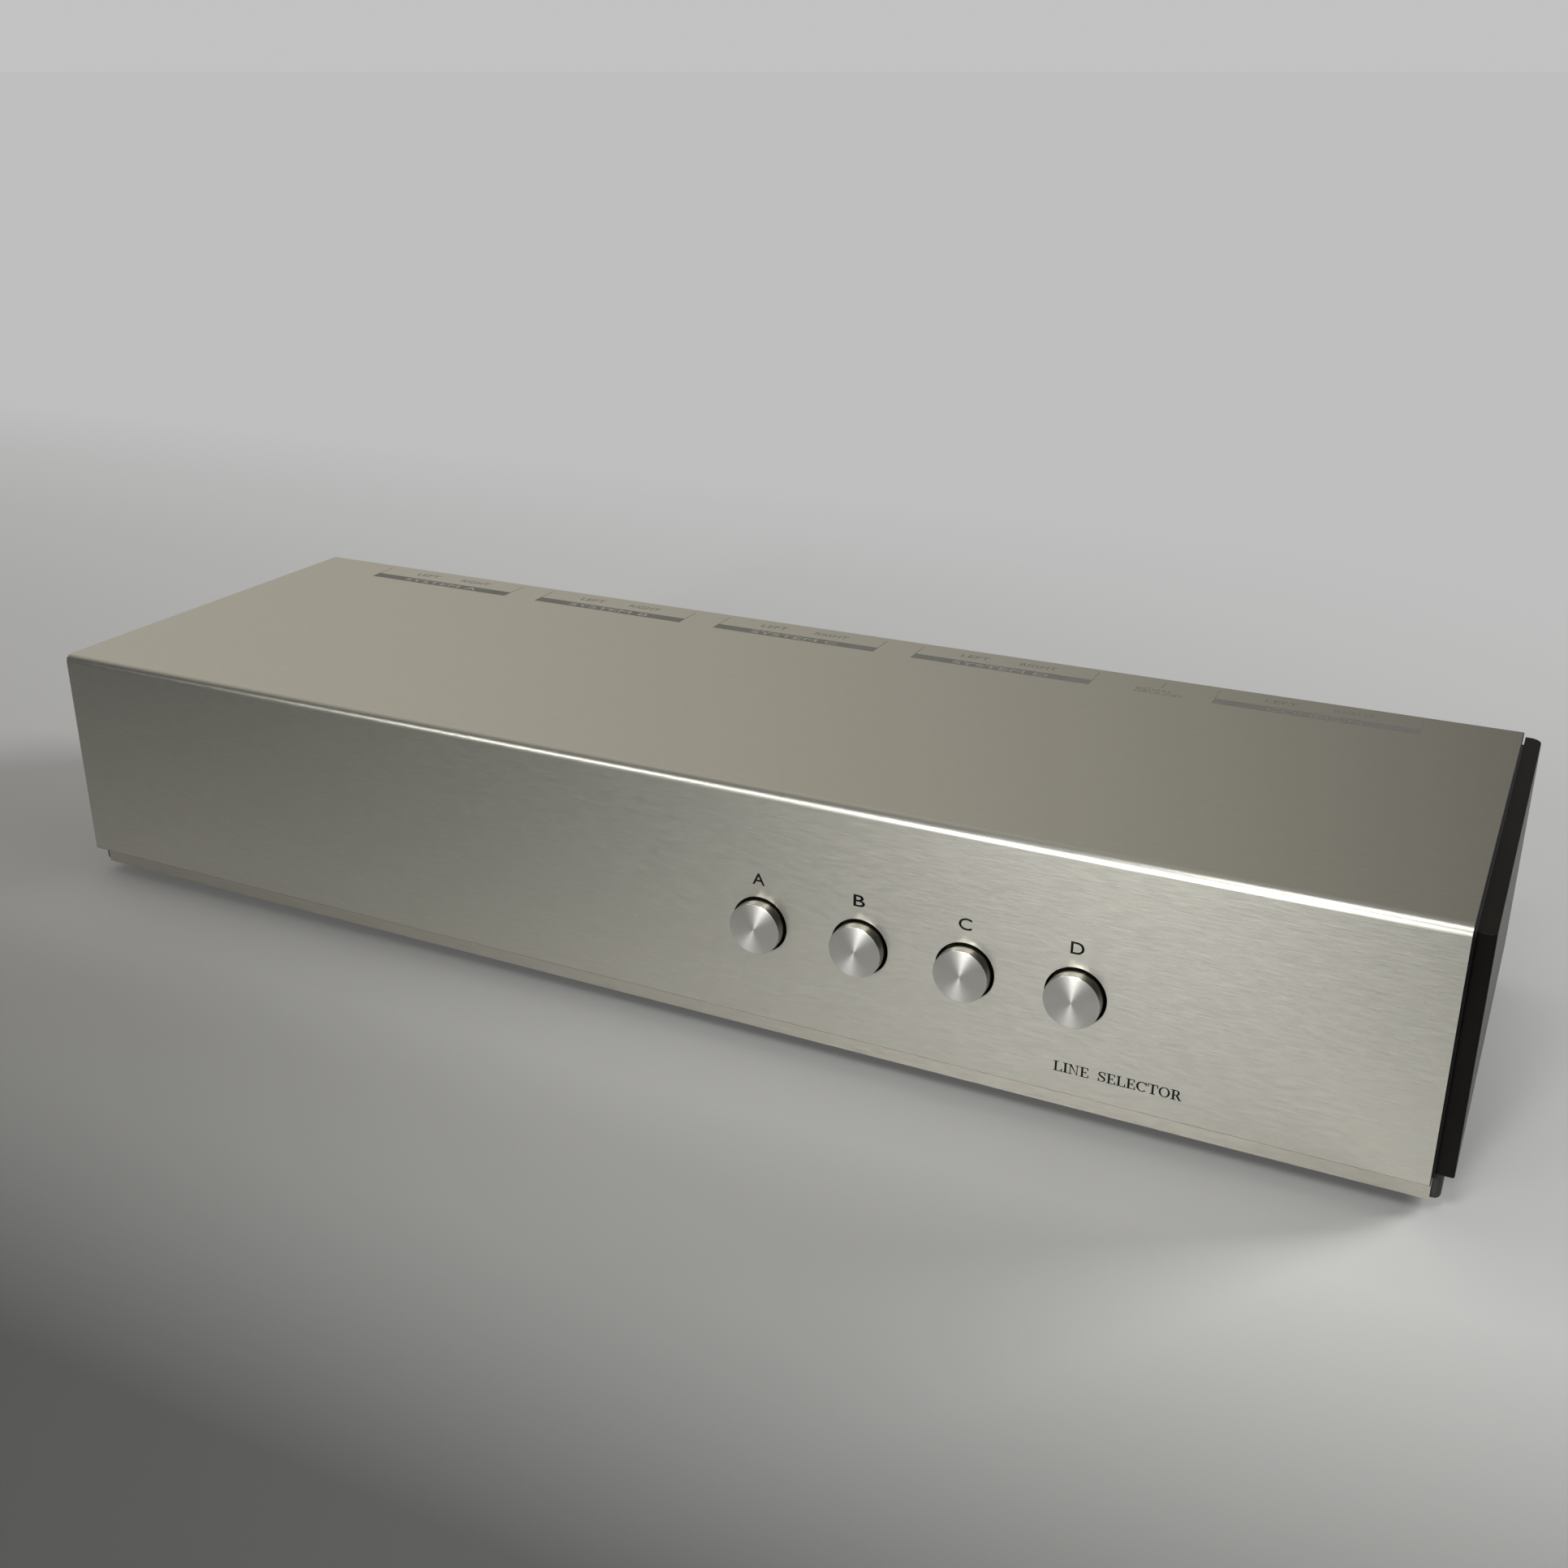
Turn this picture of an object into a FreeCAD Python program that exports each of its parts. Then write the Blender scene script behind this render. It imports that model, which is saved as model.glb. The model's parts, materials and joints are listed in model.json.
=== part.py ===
import FreeCAD, Part

import math
import os

from FreeCAD import Vector

# Line selector: four push buttons on the front join one of four pairs of sockets to a common pair.
# All sizes are millimetres. X runs to the right seen from the front, Y from the front to the rear, Z up.
# The origin lies on the surface that the feet stand on, under the middle of the whole selector.
# "Depth" means the distance behind the front face, "height" the distance above the base pan's underside.

# Casing
cover_width = 428.4
cover_height = 68.6
cover_depth = 133.8
cover_sheet = 2.0
cover_bend_radius = 2.5
cover_inner_bend_radius = 0.5
cover_rim_chamfer = 0.2
plinth_drop = 7.2
cheek_gap = 0.4
cheek_thickness = 4.4
cheek_setback = 4.2
cheek_top_drop = 2.7
cheek_bottom_rise = 1.0
cheek_rear_reach = 4.2
cheek_rear_radius = 3.5
cheek_edge_radius = 0.6
cheek_rim_radius = 0.3
steel_sheet = 1.2
steel_inner_bend_radius = 0.4
seat_gap = 0.3
flange_width = 10.0
flange_relief = 2.0
plate_corner_radius = 1.0

# Base pan, plinth strip and feet
pan_setback = 5.7
pan_side_reach = 2.4
pan_wall_height = 7.9
pan_corner_radius = 1.5
pan_inner_radius = 0.5
plinth_thickness = 0.7
plinth_lift = 0.3
foot_height = 3.0
foot_radius = 10.0
foot_taper = 1.2
foot_recess_radius = 4.0
foot_recess_depth = 1.9
foot_side_distance = 24.2
foot_front_distance = 24.0
foot_rear_distance = 18.8

# Rear panel
rear_panel_inset = 1.5
rear_panel_sheet = 1.5
rear_flange_width = 12.0

# Gaps that every fit uses, and how far a cutting shape reaches past the face that it cuts
thread_gap = 0.01
fit_gap = 0.01
running_gap = 0.05
tiny = 0.001
overcut = 1.0

# Screws, studs and nuts
screw_radius = 1.5
screw_clearance = 0.2
pan_head_radius = 2.8
pan_head_height = 1.8
pan_head_round = 0.8
cross_slot_length = 3.2
cross_slot_width = 0.6
cross_slot_depth = 1.0
flat_head_radius = 2.6
nut_across_flats = 5.5
nut_height = 2.4
stud_length = 7.0
stud_side_distance = 19.2
stud_edge_distance = 14.0
top_stud_side_distance = 34.2
side_screw_heights = (20.0, 58.0)
cheek_screw_front_distance = 20.0
cheek_screw_rear_distance = 13.8
cheek_screw_height = 40.0
cheek_screw_bite = 3.0
pan_screw_front_distance = 36.0
pan_screw_rear_distance = 29.8
pan_rear_screw_offset = 120.0
pan_screw_length = 5.0
side_screw_length = 6.0

# Push buttons
stations = "abcd"
button_pitch = 29.5
first_button_x = 37.4
button_height = 36.05
button_radius = 7.4
button_gap = 0.6
button_proud = 3.8
button_rear_depth = 7.0
button_chamfer = 0.15
button_dome = 0.3
button_wall = 1.2
button_face_wall = 2.5
button_socket_radius = 3.6
button_socket_depth = 6.0
button_travel = 3.5
button_hole_chamfer = 0.15
subpanel_button_gap = 1.2

# Switch bank
switch_plate = 1.0
switch_front_depth = 14.0
switch_rear_depth = 48.0
switch_web_rise = 8.0
switch_plate_drop = 9.0
switch_rear_plate_drop = 5.5
switch_web_overhang = 12.0
switch_ear_overhang = 25.0
switch_ear_screw_offset = 20.0
housing_half_width = 7.0
housing_drop = 6.0
housing_rear_wall = 1.5
stem_radius = 2.0
stem_front_depth = -0.3
plunger_half_width = 3.2
plunger_half_height = 2.4
plunger_rear_depth = 36.0
plunger_gap = 0.3
spring_boss_radius = 1.4
spring_boss_length = 2.0
spring_radius = 2.05
spring_wire_radius = 0.25
spring_turns = 6

# Latch of each station: a wire pin that swings in a heart-shaped groove on the plunger
groove_depth = 1.1
lane_offset = 1.2
lane_clearance = 0.3
pin_wire_radius = 0.4
pin_tip_depth = 26.0
pin_arm_length = 14.0
pin_arm_rise = 3.6
pin_leg_length = 1.6
heart_half_width = 0.5
heart_notch = 0.5

# Contacts and switch board
clip_half_width = 2.6
clip_length = 8.0
clip_front_depth = 24.0
clip_thickness = 0.4
terminal_x = 1.8
terminal_depths = (22.0, 28.0, 34.0)
terminal_width = 0.8
terminal_thickness = 0.5
terminal_tail = 2.0
board_thickness = 1.6
switch_board_overhang = 22.0
switch_board_front_depth = 17.0
switch_board_rear_depth = 52.0

# Sockets on the rear
first_system_side_distance = 59.6
common_side_distance = 56.2
common_ground_distance = 46.0
ground_system_distance = 50.6
jack_pitch = 21.1
jack_height = 39.0
jack_ring_radius = 6.5
jack_ring_thickness = 1.2
jack_shoulder_radius = 4.6
jack_shoulder_length = 1.0
jack_hole_gap = 0.1
jack_flange_radius = 5.6
jack_flange_thickness = 1.5
jack_sleeve_radius = 4.15
jack_sleeve_length = 9.0
jack_sleeve_chamfer = 0.4
jack_bore_radius = 3.4
jack_body_radius = 4.0
jack_body_length = 10.0
jack_insulator_recess = 0.8
contact_tube_radius = 2.0
contact_bore_radius = 1.65
contact_bore_depth = 14.0
contact_tail_radius = 0.6
contact_tail_length = 5.2
jack_nut_across_flats = 11.0
jack_nut_height = 2.5
jack_board_gap = 1.5
jack_board_rise = 8.0
jack_board_drop = 17.0
jack_board_margin = 9.0

# Signal ground terminal
ground_post_radius = 2.0
ground_post_length = 10.5
ground_flange_radius = 3.0
ground_flange_thickness = 0.8
ground_washer_radius = 4.6
ground_washer_thickness = 1.0
ground_nut_radius = 5.0
ground_nut_length = 6.0
ground_nut_ribs = 24
ground_nut_rib_depth = 0.35
ground_nut_plain_end = 0.6

# Screened leads from the sockets to the switch board
lead_radius = 2.0
lead_bend_radius = 16.0
lead_end_x = (26.0, 46.0, 66.0, 102.0, 118.0)
lead_front_clearance = 1.0
lead_rear_clearance = 2.2

# Reference planes
rear_panel_outer_depth = cover_depth - rear_panel_inset
rear_panel_inner_depth = rear_panel_outer_depth - rear_panel_sheet
jack_flange_depth = rear_panel_outer_depth + jack_ring_thickness
jack_tip_depth = jack_flange_depth + jack_flange_thickness + jack_sleeve_length
overall_depth = button_proud + jack_tip_depth
front_y = button_proud - overall_depth / 2
pan_z = foot_height
cover_bottom_z = pan_z + plinth_drop
cover_top_z = cover_bottom_z + cover_height
cover_under_z = cover_top_z - cover_sheet
half_cover = cover_width / 2
pan_half_width = half_cover + pan_side_reach
plate_outer_x = half_cover + cheek_gap
plate_inner_x = plate_outer_x - steel_sheet
cheek_outer_x = plate_outer_x + cheek_thickness
pan_floor_z = pan_z + steel_sheet
frame_top_z = cover_under_z - seat_gap
subpanel_front_depth = cover_sheet
subpanel_rear_depth = subpanel_front_depth + steel_sheet
subpanel_bottom_z = pan_z + pan_wall_height + seat_gap
clear_radius = screw_radius + screw_clearance
tapped_radius = screw_radius + thread_gap
side_screw_x = plate_inner_x - flange_width / 2
button_x = [first_button_x + i * button_pitch for i in range(len(stations))]
button_z = pan_z + button_height
ear_screw_x = (
    button_x[0] - switch_ear_screw_offset,
    (button_x[1] + button_x[2]) / 2,
    button_x[-1] + switch_ear_screw_offset,
)
first_system_x = first_system_side_distance - half_cover
common_x = half_cover - common_side_distance
ground_x = common_x - common_ground_distance
last_system_x = ground_x - ground_system_distance
system_pitch = (last_system_x - first_system_x) / (len(stations) - 1)
system_x = [first_system_x + i * system_pitch for i in range(len(stations))] + [common_x]
system_names = ["system_" + letter for letter in stations] + ["common"]
jack_z = pan_z + jack_height
housing_front_depth = switch_front_depth + switch_plate
housing_rear_depth = switch_rear_depth - switch_plate
spring_end_depth = housing_rear_depth - housing_rear_wall
board_top_z = button_z - housing_drop
lead_z = board_top_z - board_thickness / 2
jack_board_rear_depth = rear_panel_inner_depth - jack_body_length - jack_board_gap
jack_board_front_depth = jack_board_rear_depth - board_thickness
first_lane_depth = switch_board_rear_depth + lead_bend_radius + lead_front_clearance
last_lane_depth = jack_board_front_depth - lead_bend_radius - lead_rear_clearance
downwards = Vector(0, 0, -1)
rearwards = Vector(0, 1, 0)


def at(depth):
    """Y of a plane that lies this deep behind the front face."""
    return front_y + depth


def block(x0, x1, depth0, depth1, z0, z1):
    return Part.makeBox(x1 - x0, depth1 - depth0, z1 - z0, Vector(x0, at(depth0), z0))


def rod_x(radius, depth, z, x0, x1):
    return Part.makeCylinder(radius, x1 - x0, Vector(x0, at(depth), z), Vector(1, 0, 0))


def rod_y(radius, x, z, depth0, depth1):
    return Part.makeCylinder(radius, depth1 - depth0, Vector(x, at(depth0), z), Vector(0, 1, 0))


def rod_z(radius, x, depth, z0, z1):
    return Part.makeCylinder(radius, z1 - z0, Vector(x, at(depth), z0), Vector(0, 0, 1))


def cone_y(radius0, radius1, x, z, depth0, depth1):
    return Part.makeCone(radius0, radius1, depth1 - depth0, Vector(x, at(depth0), z), Vector(0, 1, 0))


def rounded_wire(corners, place):
    """Closed outline through (u, v, radius) corners. place turns a flat point into a point in space."""
    count = len(corners)
    stretches = []
    for i, (u, v, radius) in enumerate(corners):
        here = Vector(u, v, 0)
        if radius == 0:
            stretches.append((here, None, here))
            continue
        back_u, back_v, _ = corners[i - 1]
        next_u, next_v, _ = corners[(i + 1) % count]
        back = (Vector(back_u, back_v, 0) - here).normalize()
        ahead = (Vector(next_u, next_v, 0) - here).normalize()
        half_angle = back.getAngle(ahead) / 2
        reach = radius / math.tan(half_angle)
        bisector = (back + ahead).normalize()
        middle = here + bisector * (radius / math.sin(half_angle) - radius)
        stretches.append((here + back * reach, middle, here + ahead * reach))
    edges = []
    for i, (start, middle, end) in enumerate(stretches):
        if middle is not None:
            edges.append(Part.Arc(place(start), place(middle), place(end)).toShape())
        following = stretches[(i + 1) % count][0]
        if (following - end).Length > tiny:
            edges.append(Part.LineSegment(place(end), place(following)).toShape())
    return Part.Wire(edges)


def prism_x(corners, x0, x1):
    """Solid with a (depth, z, radius) outline, from x0 to x1."""
    wire = rounded_wire(corners, lambda p: Vector(x0, at(p.x), p.y))
    return Part.Face(wire).extrude(Vector(x1 - x0, 0, 0))


def prism_y(corners, depth0, depth1):
    """Solid with an (x, z, radius) outline, from depth0 to depth1."""
    wire = rounded_wire(corners, lambda p: Vector(p.x, at(depth0), p.y))
    return Part.Face(wire).extrude(Vector(0, depth1 - depth0, 0))


def prism_z(corners, z0, z1):
    """Solid with an (x, depth, radius) outline, from z0 to z1."""
    wire = rounded_wire(corners, lambda p: Vector(p.x, at(p.y), z0))
    return Part.Face(wire).extrude(Vector(0, 0, z1 - z0))


def hexagon(across_flats, centre_u, centre_v):
    radius = across_flats / math.sqrt(3)
    corners = []
    for i in range(6):
        angle = math.pi / 3 * i
        corners.append((centre_u + radius * math.cos(angle), centre_v + radius * math.sin(angle), 0))
    return corners


def joined(shapes):
    """One solid made of overlapping or touching shapes."""
    return shapes[0].fuse(shapes[1:]).removeSplitter()


def cut(shape, tools):
    return shape.cut(Part.makeCompound(tools)) if tools else shape


def mirrored(shape):
    return shape.mirror(Vector(0, 0, 0), Vector(1, 0, 0))


def save(name, *solids):
    """Writes one node. A group of like pieces is several solids in one node."""
    shape = solids[0] if len(solids) == 1 else Part.makeCompound(list(solids))
    for solid in shape.Solids:
        if not solid.isValid() or solid.Volume <= 0:
            print("bad solid in", name)
    shape.exportStep("parts/" + name + ".step")
    print(name, len(shape.Solids), round(shape.Volume, 1))


def pan_screw(x, depth, z, out, length):
    """Cross-head screw whose head rests on the point (x, depth, z) and points along out."""
    head = Part.makeCylinder(pan_head_radius, pan_head_height)
    rim = [e for e in head.Edges if e.BoundBox.ZMin > pan_head_height / 2]
    head = head.makeFillet(pan_head_round, rim)
    for width, across in (
        (cross_slot_length, cross_slot_width),
        (cross_slot_width, cross_slot_length),
    ):
        corner = Vector(-width / 2, -across / 2, pan_head_height - cross_slot_depth)
        head = head.cut(Part.makeBox(width, across, cross_slot_depth, corner))
    shank = Part.makeCylinder(screw_radius, length, Vector(0, 0, -length))
    screw = head.fuse(shank).removeSplitter()
    turn = FreeCAD.Rotation(Vector(0, 0, 1), out)
    screw.Placement = FreeCAD.Placement(Vector(x, at(depth), z), turn)
    return screw


def flat_screw(x, z, depth, length):
    """Countersunk screw along Y, flush with the plane at this depth, pointing rearwards."""
    sink = flat_head_radius - screw_radius
    head = cone_y(flat_head_radius, screw_radius, x, z, depth, depth + sink)
    shank = rod_y(screw_radius, x, z, depth + sink, depth + length)
    return joined([head, shank])


def flat_screw_seat(x, z, depth):
    """Space that a countersunk screw needs in the sheet that it holds."""
    sink = flat_head_radius - screw_radius
    head = cone_y(flat_head_radius + thread_gap, tapped_radius, x, z, depth, depth + sink)
    return joined([head, rod_y(tapped_radius, x, z, depth + sink, depth + steel_sheet)])


def make_cover():
    """Front and top in one bent aluminium sheet, with welded studs on its hidden side."""
    sheet = prism_x(
        [
            (0, cover_bottom_z, 0),
            (0, cover_top_z, cover_bend_radius),
            (cover_depth, cover_top_z, 0),
            (cover_depth, cover_under_z, 0),
            (cover_sheet, cover_under_z, cover_inner_bend_radius),
            (cover_sheet, cover_bottom_z, 0),
        ],
        -half_cover,
        half_cover,
    )
    rims = []
    for edge in sheet.Edges:
        box = edge.BoundBox
        outside = box.YMin < at(0) + fit_gap or box.ZMax > cover_top_z - fit_gap
        along_side = box.XLength < fit_gap and max(box.YLength, box.ZLength) > cover_bend_radius - fit_gap
        along_bottom = box.XLength > half_cover and box.ZMax < cover_bottom_z + fit_gap
        if outside and (along_side or along_bottom):
            rims.append(edge)
    sheet = sheet.makeChamfer(cover_rim_chamfer, rims)
    holes = []
    for x in button_x:
        hole_radius = button_radius + button_gap
        holes.append(rod_y(hole_radius, x, button_z, -overcut, cover_sheet + overcut))
        mouth = hole_radius + button_hole_chamfer
        holes.append(cone_y(mouth, hole_radius, x, button_z, 0, button_hole_chamfer))
    sheet = cut(sheet, holes)
    studs = [rod_y(screw_radius, x, z, cover_sheet, cover_sheet + stud_length) for x, z in front_studs()]
    for x, depth in top_studs():
        studs.append(rod_z(screw_radius, x, depth, cover_under_z - stud_length, cover_under_z))
    return joined([sheet] + studs)


def front_studs():
    """X and Z of each stud behind the front face."""
    heights = (cover_bottom_z + stud_edge_distance, cover_top_z - stud_edge_distance)
    outer = half_cover - stud_side_distance
    return [(x, z) for x in (-outer, 0, outer) for z in heights]


def top_studs():
    """X and depth of each stud under the top, near its rear edge."""
    outer = half_cover - top_stud_side_distance
    return [(x, rear_panel_inner_depth - rear_flange_width / 2) for x in (-outer, 0, outer)]


def make_stud_nuts():
    nuts = []
    for x, z in front_studs():
        nut_end = subpanel_rear_depth + nut_height
        body = prism_y(hexagon(nut_across_flats, x, z), subpanel_rear_depth, nut_end)
        nuts.append(cut(body, [rod_y(tapped_radius, x, z, 0, cover_sheet + stud_length)]))
    nut_top = frame_top_z - rear_panel_sheet
    for x, depth in top_studs():
        body = prism_z(hexagon(nut_across_flats, x, depth), nut_top - nut_height, nut_top)
        nuts.append(cut(body, [rod_z(tapped_radius, x, depth, pan_z, cover_under_z)]))
    return nuts


def cheek_screw_spots():
    """Depth and Z of each cheek's three screws."""
    first = cheek_screw_front_distance
    last = cover_depth - cheek_screw_rear_distance
    return [(depth, pan_z + cheek_screw_height) for depth in (first, (first + last) / 2, last)]


def make_right_cheek():
    """Dark side slab, set back behind the front face and rounded at its rear corner."""
    rear = cover_depth + cheek_rear_reach
    bottom = cover_bottom_z + cheek_bottom_rise
    top = cover_top_z - cheek_top_drop
    slab = prism_z(
        [
            (plate_outer_x, cheek_setback, 0),
            (cheek_outer_x, cheek_setback, cheek_edge_radius),
            (cheek_outer_x, rear, cheek_rear_radius),
            (plate_outer_x, rear, 0),
        ],
        bottom,
        top,
    )
    rims = []
    for edge in slab.Edges:
        flat = edge.BoundBox.ZLength < fit_gap and edge.BoundBox.XMax > plate_outer_x + fit_gap
        across = edge.BoundBox.YLength < fit_gap and edge.BoundBox.XMin < plate_outer_x + fit_gap
        if flat and not across:
            rims.append(edge)
    slab = slab.makeFillet(cheek_rim_radius, rims)
    bite = plate_outer_x + cheek_screw_bite + screw_clearance
    return cut(slab, [rod_x(tapped_radius, d, z, plate_inner_x, bite) for d, z in cheek_screw_spots()])


def make_right_cheek_screws():
    length = steel_sheet + cheek_screw_bite
    return [pan_screw(plate_inner_x, d, z, Vector(-1, 0, 0), length) for d, z in cheek_screw_spots()]


def pan_screw_spots():
    """X and depth of the screws that hold the base pan."""
    first = pan_screw_front_distance
    last = cover_depth - pan_screw_rear_distance
    depths = (first, (first + last) / 2, last)
    spots = [(side * side_screw_x, depth) for side in (-1, 1) for depth in depths]
    rear = rear_panel_inner_depth - rear_flange_width / 2
    return spots + [(x, rear) for x in (-pan_rear_screw_offset, 0, pan_rear_screw_offset)]


def foot_spots():
    """X and depth of each foot's middle."""
    foot_x = half_cover - foot_side_distance
    depths = (foot_front_distance, cover_depth - foot_rear_distance)
    return [(side * foot_x, depth) for side in (-1, 1) for depth in depths]


def rounded_tub(inset, floor_z, radius):
    """Solid block with the pan's outline, this far inside it, rounded at its corners and lower edges."""
    half = pan_half_width - inset
    front = pan_setback + inset
    rear = cover_depth - inset
    outline = [(-half, front, radius), (half, front, radius), (half, rear, radius), (-half, rear, radius)]
    tub = prism_z(outline, floor_z, pan_z + pan_wall_height)
    lower = [e for e in tub.Edges if e.BoundBox.ZMax < floor_z + fit_gap]
    return tub.makeFillet(radius, lower)


def make_base_pan():
    """Shallow steel pan that closes the underside."""
    shell = rounded_tub(0, pan_z, pan_corner_radius)
    hollow = rounded_tub(steel_sheet, pan_floor_z, pan_inner_radius)
    low, high = pan_z - overcut, pan_floor_z + overcut
    holes = [rod_z(clear_radius, x, depth, low, high) for x, depth in pan_screw_spots()]
    holes += [rod_z(tapped_radius, x, depth, low, high) for x, depth in foot_spots()]
    return cut(shell, [hollow] + holes)


def make_feet():
    feet = []
    for x, depth in foot_spots():
        place = Vector(x, at(depth), 0)
        foot = Part.makeCone(foot_radius - foot_taper, foot_radius, foot_height, place)
        recess = rod_z(foot_recess_radius, x, depth, -overcut, foot_recess_depth)
        bore = rod_z(clear_radius, x, depth, -overcut, foot_height + overcut)
        feet.append(cut(foot, [recess, bore]))
    return feet


def make_plinth_strip():
    """Brushed strip on the pan's front wall. Its upper edge is hidden behind the cover."""
    front = pan_setback - plinth_thickness
    top = pan_z + pan_wall_height
    return block(-half_cover, half_cover, front, pan_setback, pan_z + plinth_lift, top)


def side_screw_spots():
    """X and Z of the screws that hold the upright sheets to the side plates."""
    return [(side * side_screw_x, pan_z + height) for side in (-1, 1) for height in side_screw_heights]


def channel_x(face, back, flange_end, low, high, x0, x1):
    """Sheet folded into a channel along X: its outer face, its inner face, and where its two flanges end."""
    sheet = abs(back - face)
    inner = steel_inner_bend_radius
    outer = inner + sheet
    corners = [
        (face, low, outer),
        (face, high, outer),
        (flange_end, high, 0),
        (flange_end, high - sheet, 0),
        (back, high - sheet, inner),
        (back, low + sheet, inner),
        (flange_end, low + sheet, 0),
        (flange_end, low, 0),
    ]
    return prism_x(corners, x0, x1)


def flange_notches(half, depth0, depth1, low, high):
    """Space cut from both ends of a channel's flanges, where the side plates have theirs."""
    inner = half - flange_width - flange_relief
    outer = half + overcut
    spans = ((-outer, -inner), (inner, outer))
    return [block(x0, x1, depth0, depth1, low - overcut, high + overcut) for x0, x1 in spans]


def make_subpanel():
    """Steel sheet behind the front face, folded rearwards along its top and bottom."""
    half = plate_inner_x - seat_gap
    front, rear = subpanel_front_depth, subpanel_rear_depth
    flange_end = front + flange_width
    sheet = channel_x(front, rear, flange_end, subpanel_bottom_z, frame_top_z, -half, half)
    holes = [rod_y(clear_radius, x, z, 0, flange_end) for x, z in front_studs()]
    for x in button_x:
        holes.append(rod_y(button_radius + subpanel_button_gap, x, button_z, 0, rear + overcut))
    for x, z in side_screw_spots():
        holes.append(flat_screw_seat(x, z, subpanel_front_depth))
    for x in ear_screw_x:
        holes.append(flat_screw_seat(x, button_z, subpanel_front_depth))
    clear_of_bend = rear + steel_inner_bend_radius
    holes += flange_notches(half, clear_of_bend, flange_end + overcut, subpanel_bottom_z, frame_top_z)
    return cut(sheet, holes)


def make_right_side_plate():
    """Upright steel plate with flanges for the front, the rear, the pan and the top."""
    front = subpanel_front_depth + seat_gap
    step = pan_setback + steel_sheet + seat_gap
    rear = rear_panel_inner_depth
    corner = plate_corner_radius
    plate = prism_x(
        [
            (step, pan_floor_z, corner),
            (step, subpanel_bottom_z, 0),
            (front, subpanel_bottom_z, 0),
            (front, frame_top_z, corner),
            (rear, frame_top_z, corner),
            (rear, pan_floor_z, corner),
        ],
        plate_inner_x,
        plate_outer_x,
    )
    inner = plate_inner_x - flange_width
    low = subpanel_bottom_z + steel_sheet + flange_relief
    high = frame_top_z - steel_sheet - flange_relief
    fold_front = subpanel_rear_depth + steel_sheet
    fold_rear = rear - steel_sheet
    after_front = subpanel_front_depth + flange_width + flange_relief
    before_rear = rear - rear_flange_width - flange_relief
    flanges = [
        block(inner, plate_inner_x, subpanel_rear_depth, fold_front, low, high),
        block(inner, plate_inner_x, fold_rear, rear, low, high),
        block(inner, plate_inner_x, after_front, before_rear, pan_floor_z, pan_floor_z + steel_sheet),
        block(inner, plate_inner_x, after_front, before_rear, frame_top_z - steel_sheet, frame_top_z),
    ]
    holes = []
    for depth, z in cheek_screw_spots():
        holes.append(rod_x(clear_radius, depth, z, plate_inner_x - overcut, plate_outer_x + overcut))
    for x, z in side_screw_spots():
        if x > 0:
            holes.append(rod_y(tapped_radius, x, z, subpanel_front_depth, fold_front + overcut))
            holes.append(rod_y(tapped_radius, x, z, fold_rear - overcut, rear + overcut))
    for x, depth in pan_screw_spots():
        if x > inner:
            holes.append(rod_z(tapped_radius, x, depth, pan_z, pan_floor_z + steel_sheet + overcut))
    return cut(joined([plate] + flanges), holes)


def make_rear_panel():
    """Rear sheet with the socket holes, folded forwards under the top and over the pan."""
    half = plate_inner_x - seat_gap
    face, back = rear_panel_outer_depth, rear_panel_inner_depth
    flange_end = back - rear_flange_width
    sheet = channel_x(face, back, flange_end, pan_floor_z, frame_top_z, -half, half)
    inside, outside = back - overcut, face + overcut
    floor_top = pan_floor_z + rear_panel_sheet
    holes = [rod_y(jack_shoulder_radius + jack_hole_gap, x, jack_z, inside, outside) for x in jack_x()]
    holes.append(rod_y(ground_post_radius + thread_gap, ground_x, jack_z, inside, outside))
    for x, z in side_screw_spots():
        holes.append(rod_y(clear_radius, x, z, inside, outside))
    for x, depth in top_studs():
        holes.append(rod_z(clear_radius, x, depth, floor_top, frame_top_z + overcut))
    for x, depth in pan_screw_spots():
        if depth > flange_end:
            holes.append(rod_z(tapped_radius, x, depth, pan_z, floor_top + overcut))
    clear_of_bend = back - steel_inner_bend_radius
    holes += flange_notches(half, flange_end - overcut, clear_of_bend, pan_floor_z, frame_top_z)
    return cut(sheet, holes)


def jack_x():
    """X of every socket, left and right of each pair."""
    return [x + side * jack_pitch / 2 for x in system_x for side in (-1, 1)]


def make_jack_sleeve(x):
    """Gold-plated shell of a socket: plug sleeve, flange and threaded body in one turned piece."""
    flange_end = jack_flange_depth + jack_flange_thickness
    inner_end = rear_panel_inner_depth - jack_body_length
    straight_end = jack_tip_depth - jack_sleeve_chamfer
    tip_radius = jack_sleeve_radius - jack_sleeve_chamfer
    turned = joined(
        [
            rod_y(jack_body_radius, x, jack_z, inner_end, jack_flange_depth),
            rod_y(jack_flange_radius, x, jack_z, jack_flange_depth, flange_end),
            rod_y(jack_sleeve_radius, x, jack_z, flange_end, straight_end),
            cone_y(jack_sleeve_radius, tip_radius, x, jack_z, straight_end, jack_tip_depth),
        ]
    )
    bore = rod_y(jack_bore_radius, x, jack_z, inner_end - overcut, jack_tip_depth + overcut)
    return turned.cut(bore)


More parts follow.
